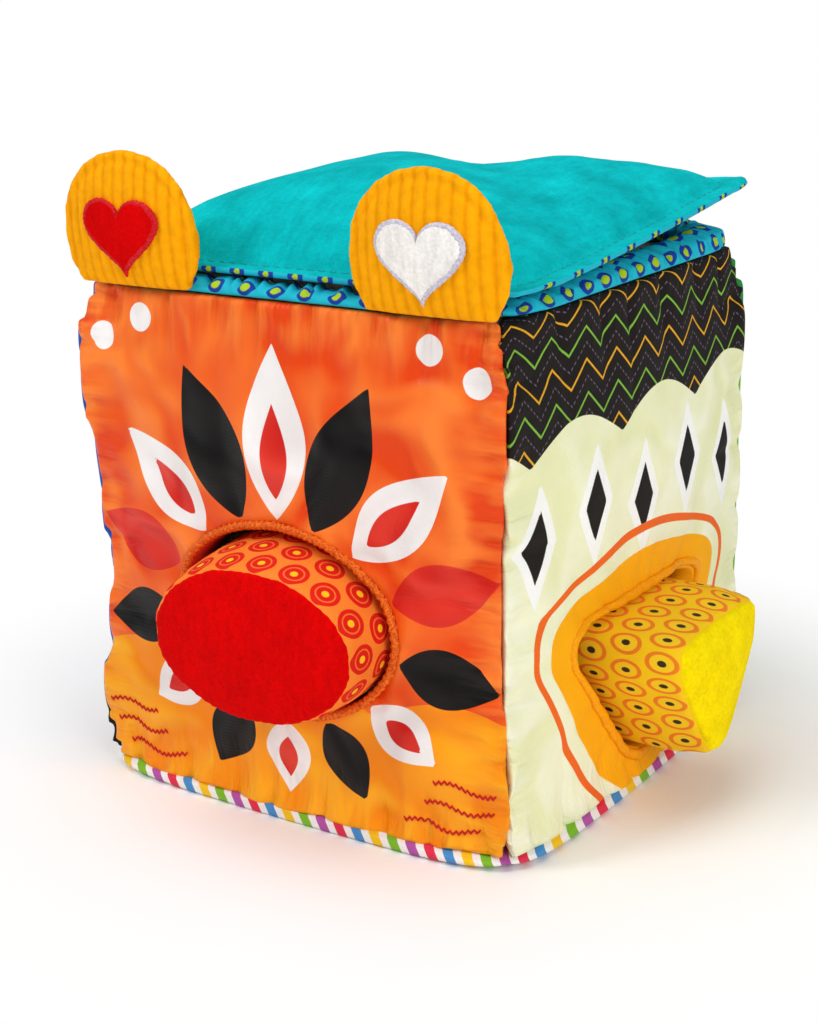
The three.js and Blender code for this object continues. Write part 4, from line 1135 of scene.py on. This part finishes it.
BLOCK_CLOTHS = {
    "oval_block": ("red_plush", ("#dc0202", "#cc0103"), "orange_print",
                   lambda tree, u, v: spotted(tree, u, v, "#f8842a", (5.5, "#dc1a0c"), (3.9, "#f2732a"),
                                              (3.3, "#dc1a0c"), (1.4, "#ffc61a"), pitch=(SPOT_PITCH, 11.5))),
    "triangle_block": ("yellow_plush", ("#ffe606", "#f6d600"), "yellow_print",
                       lambda tree, u, v: spotted(tree, u, v, "#ffcf12", (5.9, "#f5821f"), (4.3, "#ffd21e"),
                                                  (1.6, "#3a2a1c"), pitch=(SPOT_PITCH, 13.0))),
    "round_block": ("green_plush", ("#6fb52c", "#4f8f1c"), "striped_cotton",
                    lambda tree, u, v: striped(tree, u, "#f3f1ee", ("#4a90d0", "#f5c51c"), SPOT_PITCH / 2, 3.6)),
    "square_block": ("blue_plush", ("#2b6fd0", "#1c50a4"), "yellow_print",
                     lambda tree, u, v: spotted(tree, u, v, "#f4c50a", (3.0, "#2b6fd0"), pitch=(SPOT_PITCH, 11.0))),
}
for name, (piece, seams) in blocks.items():
    finish_block(name, piece, seams)
    face_slot, colours, gusset_slot, paint = BLOCK_CLOTHS[name]
    dress(piece, name, [plush(f"{name}_plush", *colours), gusset_cloth(f"{name}_print", paint)],
          [f"{name}_{part}" for part in ("face", "gusset", "back", "filling")])
    print(name, "is", len(piece.data.polygons), "faces")

# %% [markdown]
# ## Dress the lid
#
# The lid is teal plush over a printed lining. A row of stitches follows the edge, 8 mm in, and presses a groove into
# the pile. The underside shows where the rear corner lifts, so it has the same print as the collar.

# %% Lid cloths and stitches
def lining_cotton(name, coordinates):
    """Printed cotton in plain weave, dyed turquoise and then printed with ringed dots: matt and slightly uneven."""
    material, tree = start_material(name)
    u, v = coordinates(tree)
    colour = spotted(tree, u, v, "#17b6cc", (3.4, "#123a9a"), (1.8, "#a8c81c"), pitch=(12.0, 9.0))
    colour = mottled(tree, colour, place_in_mm(tree), 24, 0.05)
    finish_material(tree, colour, weave(tree, u, v, COTTON_THREAD, 0.4), **COTTON)
    return material


LID_STITCH_INSET, LID_GROOVE = 8.0, 1.1
points = points_of(lid)
inside, up = from_lid_edge(points), normals_of(lid)[:, 2]
rise = 0.35 * np.sin(points[:, 0] / 9 + np.sin(points[:, 1] / 14)) * np.sin(points[:, 1] / 11 + 0.7)
rise *= np.clip((inside - LID_FLANGE) / 10, 0, 1)
groove = LID_GROOVE * np.exp(-((inside - LID_STITCH_INSET) / 1.6) ** 2)
points[:, 2] += np.where(up > 0.2, rise - groove, 0)
move_points(lid, points)
dress(lid, "lid", [plush("teal_plush", "#08c6ca", "#009ca1"),
                   lining_cotton("turquoise_lining_print", lambda tree: axes_in_mm(tree)[:2])],
      ("lid_top", "lid_wadding", "lid_lining"))


def stitches(name, spots_found, ways, ups, length, thickness, material, body):
    """Short loops of thread that lie on the cloth."""
    shape = bmesh.new()
    for spot, way, up in zip(spots_found, ways, ups):
        way, up = Vector(way).normalized(), Vector(up).normalized()
        side = up.cross(way).normalized()
        turn = Matrix((way * length / 2, side * thickness / 2, side.cross(way) * -thickness / 2)).transposed().to_4x4()
        bmesh.ops.create_uvsphere(shape, u_segments=8, v_segments=5, radius=MM,
                                  matrix=Matrix.Translation(Vector(spot) * MM) @ turn)
    bmesh.ops.recalc_face_normals(shape, faces=shape.faces)
    piece = new_piece(name, in_order(shape))
    dress(piece, body, [material])
    return piece


def lid_stitch_line(spacing):
    angle = np.linspace(0, 2 * np.pi, 1441)[:-1]
    reach = 1 - LID_STITCH_INSET / LID_HALF[0]
    distance = reach / softened(np.cos(angle) / LID_HALF[0], np.sin(angle) / LID_HALF[1])
    line = np.stack([LID_MIDDLE[0] + distance * np.cos(angle), LID_MIDDLE[1] + distance * np.sin(angle)], axis=1)
    run = np.append(0, np.cumsum(steps_along(line)))
    marks = np.linspace(0, run[-1], round(run[-1] / spacing) + 1)[:-1]
    looped = np.vstack([line, line[:1]])
    return np.stack([np.interp(marks, run, looped[:, axis]) for axis in (0, 1)], axis=1)


def dropped(tree, spots_found):
    """The surface straight below these places: its points and normals."""
    hits = [tree.ray_cast(Vector((x, y, 300)) * MM, Vector((0, 0, -1))) for x, y in spots_found]
    return np.array([hit[0] for hit in hits]) / MM, np.array([hit[1] for hit in hits])


line = lid_stitch_line(4.6)
spots_found, ups = dropped(piece_surface(lid), line)
ways = np.roll(spots_found, -1, 0) - np.roll(spots_found, 1, 0)
stitches("lid_topstitch", spots_found, ways, ups, 3.2, 0.7,
         thread_material("teal_thread", "#14b4b8", "#089498"), "lid")
print("lid stitches:", len(line))

# %% [markdown]
# ## Dress the ear tabs and hearts
#
# Wide-wale corduroy has cut ridges about 4.5 mm apart that run up the tab. The hearts are plush patches with a
# satin-stitched border. Each heart is swept in rings from its edge to its middle and laid onto the tab by rays.

# %% Corduroy and hearts
WALE, WALE_DEPTH = 4.5, 0.3


def corduroy(name, middle_x):
    """Cut pile in ridges, with painted shade darkening the valleys and a short soft nap on the crests."""
    material, tree = start_material(name)
    x = axes_in_mm(tree)[0]
    spot = place_in_mm(tree)
    phase = calc(tree, "MULTIPLY", calc(tree, "SUBTRACT", x, middle_x), 2 * math.pi / WALE)
    wale = calc(tree, "COSINE", phase)
    # Painted shade: the colour darkens towards the valleys between the wales.
    colour = blend(tree, add(tree, "MapRange", wale, -1.0, -0.1), linear("#f29a02"), linear("#ffac08"))
    fibre = patches(tree, spot, 1 / 0.9, 3.0, Roughness=0.7)
    bump = relief(tree, wale, 0.5, 0.25, relief(tree, fibre, 0.6, 0.5))
    finish_material(tree, mottled(tree, colour, spot, 3, 0.08), bump, Roughness=0.95, Specular_IOR_Level=0.05,
                    Sheen_Weight=0.3, Sheen_Roughness=0.45, Sheen_Tint=linear("#ffb84a"))
    return material


for side, piece in ears.items():
    points, facing = points_of(piece), normals_of(piece)
    x, from_rim = EAR_MIDDLES[side][0], from_ear_rim(side, points)
    ridge = WALE_DEPTH * (np.cos(2 * np.pi * (points[:, 0] - x) / WALE) - 1) / 2 * np.clip((from_rim - 1) / 3, 0, 1)
    seam = 0.8 * np.exp(-((from_rim - 4.5) / 1.3) ** 2)
    move_points(piece, points + facing * ((ridge - seam) * np.abs(facing[:, 1]))[:, None])
    dress(piece, f"{side}_ear", [corduroy(f"{side}_ear_corduroy", x)],
          [f"{side}_ear_{part}" for part in ("front", "back", "wadding")])

HEART_STEPS, HEART_WIDTH, HEART_HEIGHT, HEART_RISE, HEART_CLOTH = 240, 33.0, 31.0, 2.0, 1.0
HEARTS = {"left": ("red_plush", "#de0102", "#c80103", "#e01c2a", "#b80a16"),
          "right": ("white_plush", "#f7f4f0", "#ebe6e0", "#d9d6e2", "#b9b4c8")}


def heart_line(side, share):
    angle = 2 * np.pi * np.arange(HEART_STEPS) / HEART_STEPS
    x = np.sin(angle) ** 3 * HEART_WIDTH / 2
    z = (13 * np.cos(angle) - 5 * np.cos(2 * angle) - 2 * np.cos(3 * angle) - np.cos(4 * angle)) / 17 * HEART_HEIGHT / 2
    middle_x, middle_z = EAR_MIDDLES[side]
    return np.stack([middle_x + x * share, np.full_like(x, -140.0), middle_z + HEART_RISE + z * share], axis=1)


def laid(tree, line, lift):
    """This line, pushed back onto the tab and then lifted off it by so many mm."""
    hits = [tree.ray_cast(Vector(spot) * MM, Vector((0, 1, 0)))[0] for spot in line]
    return np.array([[spot[0], hit.y / MM - lift, spot[2]] for spot, hit in zip(line, hits)])


for side, (slot, code, shade, thread, thread_shade) in HEARTS.items():
    tab, shape = piece_surface(ears[side]), bmesh.new()
    steps = [(0.05, 0.1), (0.5, 0.1), (0.96, 0.1), (0.96, HEART_CLOTH), (0.93, HEART_CLOTH + 0.3),
             *((share, HEART_CLOTH + 0.6) for share in (0.86, 0.74, 0.62, 0.48, 0.34, 0.2, 0.05))]
    sweep(shape, [laid(tab, heart_line(side, share), lift) for share, lift in steps], closed=False)
    patch = new_piece(f"{side}_ear_heart_patch", in_order(shape))
    dress(patch, f"{side}_ear", [plush(f"{side}_heart_plush", code, shade, 0.7)], (f"{side}_ear_heart",))
    shape, middle = bmesh.new(), laid(tab, heart_line(side, 0.93), HEART_CLOTH * 0.7)
    out = laid(tab, heart_line(side, 0.98), HEART_CLOTH * 0.7) - middle
    out /= np.maximum(np.linalg.norm(out, axis=1)[:, None], 1e-6)
    sweep(shape, roll_rings(middle, out, np.array([[0.0, -1.0, 0.0]]), 2.4, 1.8, 60, sides=8))
    border = new_piece(f"{side}_heart_border", in_order(shape))
    dress(border, f"{side}_ear", [thread_material(f"{side}_heart_thread", thread, thread_shade)])
print("hearts:", ", ".join(HEARTS))

# %% [markdown]
# ## Dress the collar, base, lining and hinge
#
# Elastic draws the collar into tight, uneven gathers. The base has a cover of striped cotton, woven plainly and matt,
# and its rim rolls out under the walls as a thin striped edge. The lining is a plain bag. It starts as a copy of its
# measured solid, cut into a grid so that its walls can ripple.

# %% Collar, base, lining and hinge strip
def round_mouth(points):
    """How far along the mouth a point lies, from 0 to four wall widths."""
    x, y = points[:, 0], points[:, 1]
    side = np.where(np.abs(y) >= np.abs(x), np.where(y < 0, 0, 2), np.where(x > 0, 1, 3))
    return side * 2 * HALF_WIDTH + np.choose(side, [x, y, -x, -y]) + HALF_WIDTH


GATHER_DEPTH, GATHER_SPACING, COLLAR_SPREAD = 1.9, 7.0, 0.02
ROLL_REACH, ROLL_HEIGHT, ROLL_RADIUS = 80.0, 184.3, 8.0
points = points_of(collar)
along = round_mouth(points)
distance = np.maximum(np.abs(points[:, 0]), np.abs(points[:, 1]))
round_roll = np.arctan2(points[:, 2] - ROLL_HEIGHT, distance - ROLL_REACH) * ROLL_RADIUS
points[:, :2] *= 1 + COLLAR_SPREAD * np.clip((distance - 76) / 10, 0, 1)[:, None]
fold = GATHER_DEPTH * dips(along + 0.25 * round_roll, GATHER_SPACING, sharpness=1.3, wander=2.2)
fold *= np.clip((points[:, 2] - 185) / 4, 0, 1)
move_points(collar, points - normals_of(collar) * fold[:, None])
set_cloth(collar, along, round_roll, 8 * HALF_WIDTH)
dress(collar, "cube", [lining_cotton("turquoise_gathered_print", cloth_axes)],
      ("mouth_collar", "collar_filling"))

# How far the rim reaches from the middle, in mm: as measured, and then as it rolls out.
BASE_SPREAD, BASE_RIM_TOP, BASE_CORNER = ((0, 70, 78.5, 82.7), (0, 70, 92.0, 93.0)), 4.2, 0.65
points = points_of(base)
longer, shorter = np.abs(points[:, :2]).max(axis=1), np.abs(points[:, :2]).min(axis=1)
spread = np.where(points[:, 2] < BASE_RIM_TOP, np.interp(longer, *BASE_SPREAD) / longer, 1)
points[:, :2] *= (1 + (spread - 1) * (1 - BASE_CORNER * (shorter / longer) ** 6))[:, None]
move_points(base, points)
base_cloth, tree = start_material("striped_base_cotton")
x, y, z = axes_in_mm(tree)
place = calc(tree, "MULTIPLY_ADD", y, 0.7, calc(tree, "MULTIPLY_ADD", z, 0.5, x))
stripes = striped(tree, place, "#f3f1ee", ("#4a90d0", "#f5c51c", "#7dbb2b", "#b455a8", "#e2304f"), 7.5, 4.2)
finish_material(tree, mottled(tree, stripes, place_in_mm(tree), 24, 0.04), weave(tree, x, y, COTTON_THREAD, 0.4),
                **COTTON)
dress(base, "cube", [base_cloth], ("base_cover", "base_board"))

LINING_GRID, LINING_RIPPLE = 12.0, 0.5
shape = shape_of("inner_lining")
for axis in (Vector((1, 0, 0)), Vector((0, 1, 0)), Vector((0, 0, 1))):
    for number in range(-8, 17):
        cut(shape, axis * number * LINING_GRID, axis)
lining = new_piece("inner_bag", shape)
points = points_of(lining)
swell = LINING_RIPPLE * (1 + np.sin(points[:, 2] / 9 + np.sin(round_mouth(points) / 15))) / 2
inward = np.zeros_like(points)
for axis in (0, 1):
    wall_side = np.abs(points[:, axis]) > INNER_FACE - 0.5
    inward[wall_side, axis] = -np.sign(points[wall_side, axis])
free = np.minimum.reduce([np.abs(from_opening(wall, *on_wall(wall, points)[::2])) for wall in WALLS.values()]) > 6
move_points(lining, points + inward * (swell * free * (points[:, 2] < 176))[:, None])
dress(lining, "cube", [plain_cotton("cream_lining_cotton", "#f0ead2")], ("inner_lining",))

HINGE_GRID = 9.0
shape = shape_of("lid_hinge_strip")
for number in range(-6, 7):
    cut(shape, (0, number * HINGE_GRID, 0), (0, 1, 0))
hinge = new_piece("lid_hinge_tape", shape)
dress(hinge, "cube", [lining_cotton("turquoise_hinge_tape", lambda tree: axes_in_mm(tree)[1:])],
      ("lid_hinge_strip",))
print("lining area:", round(sheet_area(lining), 3), "m2")

# %% [markdown]
# ## Embroidery on the front wall
#
# Short wavy rows of red thread decorate the hills under the sunflower. Each row is a close zigzag of stitches that lie
# on the cloth, every stitch found by a ray from in front.

# %% Embroidered rows
EMBROIDERED_ROWS = ((-83, -60, 28), (-81, -56, 20), (-76, -48, 12), (60, 84, 28), (56, 82, 20), (48, 76, 12))
front_face = piece_surface(walls["front"])
spots_found, ways, ups = [], [], []
for start, end, level in EMBROIDERED_ROWS:
    for number, across in enumerate(np.arange(start, end, 1.1)):
        height = level + 1.2 * math.sin((across - start) / 3.6)
        hit, up, _, _ = front_face.ray_cast(Vector((across, -140, height)) * MM, Vector((0, 1, 0)))
        if hit:
            spots_found.append(np.array(hit) / MM + np.array(up) * 0.1)
            ways.append((1, 0, 1.3 if number % 2 else -1.3))
            ups.append(up)
stitches("front_embroidery", spots_found, ways, ups, 2.4, 0.8,
         thread_material("red_embroidery_thread", "#dd1c24", "#b01018"), "cube")
print("embroidery stitches:", len(spots_found))

# %% [markdown]
# ## The sound makers
#
# The squeaker and the rattle are moulded plastic, the bell is plated metal and the crinkle film is thin plastic. They
# are hidden in the stuffing, so their measured solids stay and get a plain moulded or plated finish.

# %% Plastic and metal
def hard_material(name, code, grain, **finish):
    """A hard surface with a fine grain from its mould or film. Its finish gives its gloss."""
    material, tree = start_material(name)
    spot = place_in_mm(tree)
    bump = relief(tree, patches(tree, spot, grain, 3.0), 0.15, 0.1)
    finish_material(tree, mottled(tree, linear(code), spot, 6, 0.03), bump, **finish)
    return material


# Moulded PVC and polypropylene keep the mould's satin grain. Film is smooth and glossy. Nickel plate mirrors softly.
SOUND_MAKERS = {
    "oval_block_squeaker": hard_material("moulded_pvc", "#dfe4e8", 1.5, Roughness=0.45),
    "triangle_block_rattle": hard_material("moulded_polypropylene", "#e8e4dc", 1.2, Roughness=0.38),
    "round_block_crinkle_film": hard_material("crinkle_film", "#dfe4e8", 0.8, Roughness=0.22),
    "square_block_bell": hard_material("nickel_plate", "#c9ccd0", 0.6, Roughness=0.25, Metallic=1.0),
}
for node, material in SOUND_MAKERS.items():
    for material_slot in frame["nodes"][node].material_slots:
        material_slot.link = "OBJECT"
        material_slot.material = material
print("sound makers:", ", ".join(SOUND_MAKERS))

# %% [markdown]
# ## Floor and light
#
# The cube stands on a pale painted floor in soft studio light: a large lamp high on the left, one on the right, one
# overhead and an even glow from all round. Far from the cube the floor turns to plain white for the camera, so it has
# no horizon. The floor lies a hair below the base, so that the two surfaces don't fight for the same place.

# %% Studio
FLOOR_SIZE, FLOOR_DROP, WHITE_FROM, WHITE_AT = 12.0, 0.3, 0.11, 0.25

shape = bmesh.new()
bmesh.ops.create_circle(shape, cap_ends=True, segments=96, radius=FLOOR_SIZE,
                        matrix=Matrix.Translation((0, 0, -FLOOR_DROP * MM)))
floor = new_piece("studio_floor", shape)
floor_paint, tree = start_material("pale_floor")
spot = add(tree, "TexCoord", out="Object")
reach = add(tree, "VectorMath", spot, operation="LENGTH", out="Value")
far = add(tree, "MapRange", reach, WHITE_FROM, WHITE_AT, interpolation_type="SMOOTHSTEP")
seen = add(tree, "LightPath", out="Is Camera Ray")
share = calc(tree, "MULTIPLY", far, seen)
matt = add(tree, "BsdfDiffuse", linear("#fbfaf9"))
white = add(tree, "Emission", (1, 1, 1, 1), 1.0)
add(tree, "OutputMaterial", add(tree, "MixShader", share, matt, white), out=None)
floor.data.materials.append(floor_paint)

world = bpy.data.worlds.new("studio")
scene.world = world
world.use_nodes = True
tree = world.node_tree
tree.nodes.clear()
path = add(tree, "LightPath", out=None)
direct = calc(tree, "MAXIMUM", path.outputs["Is Camera Ray"], path.outputs["Is Transmission Ray"])
glow = add(tree, "Background", (1, 1, 1, 1), 0.3)
backdrop = add(tree, "Background", (1, 1, 1, 1), 1.0)
mixed = add(tree, "MixShader", direct, glow, backdrop)
add(tree, "OutputWorld", mixed, out=None)


def lamp(name, place, target, size, watts):
    light = bpy.data.lights.new(name, "AREA")
    light.shape, light.size, light.energy = "DISK", size, watts
    holder = bpy.data.objects.new(name, light)
    scene.collection.objects.link(holder)
    way = Vector(target) - Vector(place)
    holder.matrix_world = Matrix.Translation(Vector(place)) @ way.to_track_quat("-Z", "Y").to_matrix().to_4x4()


lamp("key", (-0.9, -1.3, 1.5), (0, 0, 0.1), 0.7, 15)
lamp("fill", (1.5, -0.6, 0.8), (0, 0, 0.1), 1.0, 12)
lamp("top", (-0.2, -0.1, 1.9), (0, 0, 0.1), 1.4, 14.5)
scene.view_settings.view_transform = "Standard"
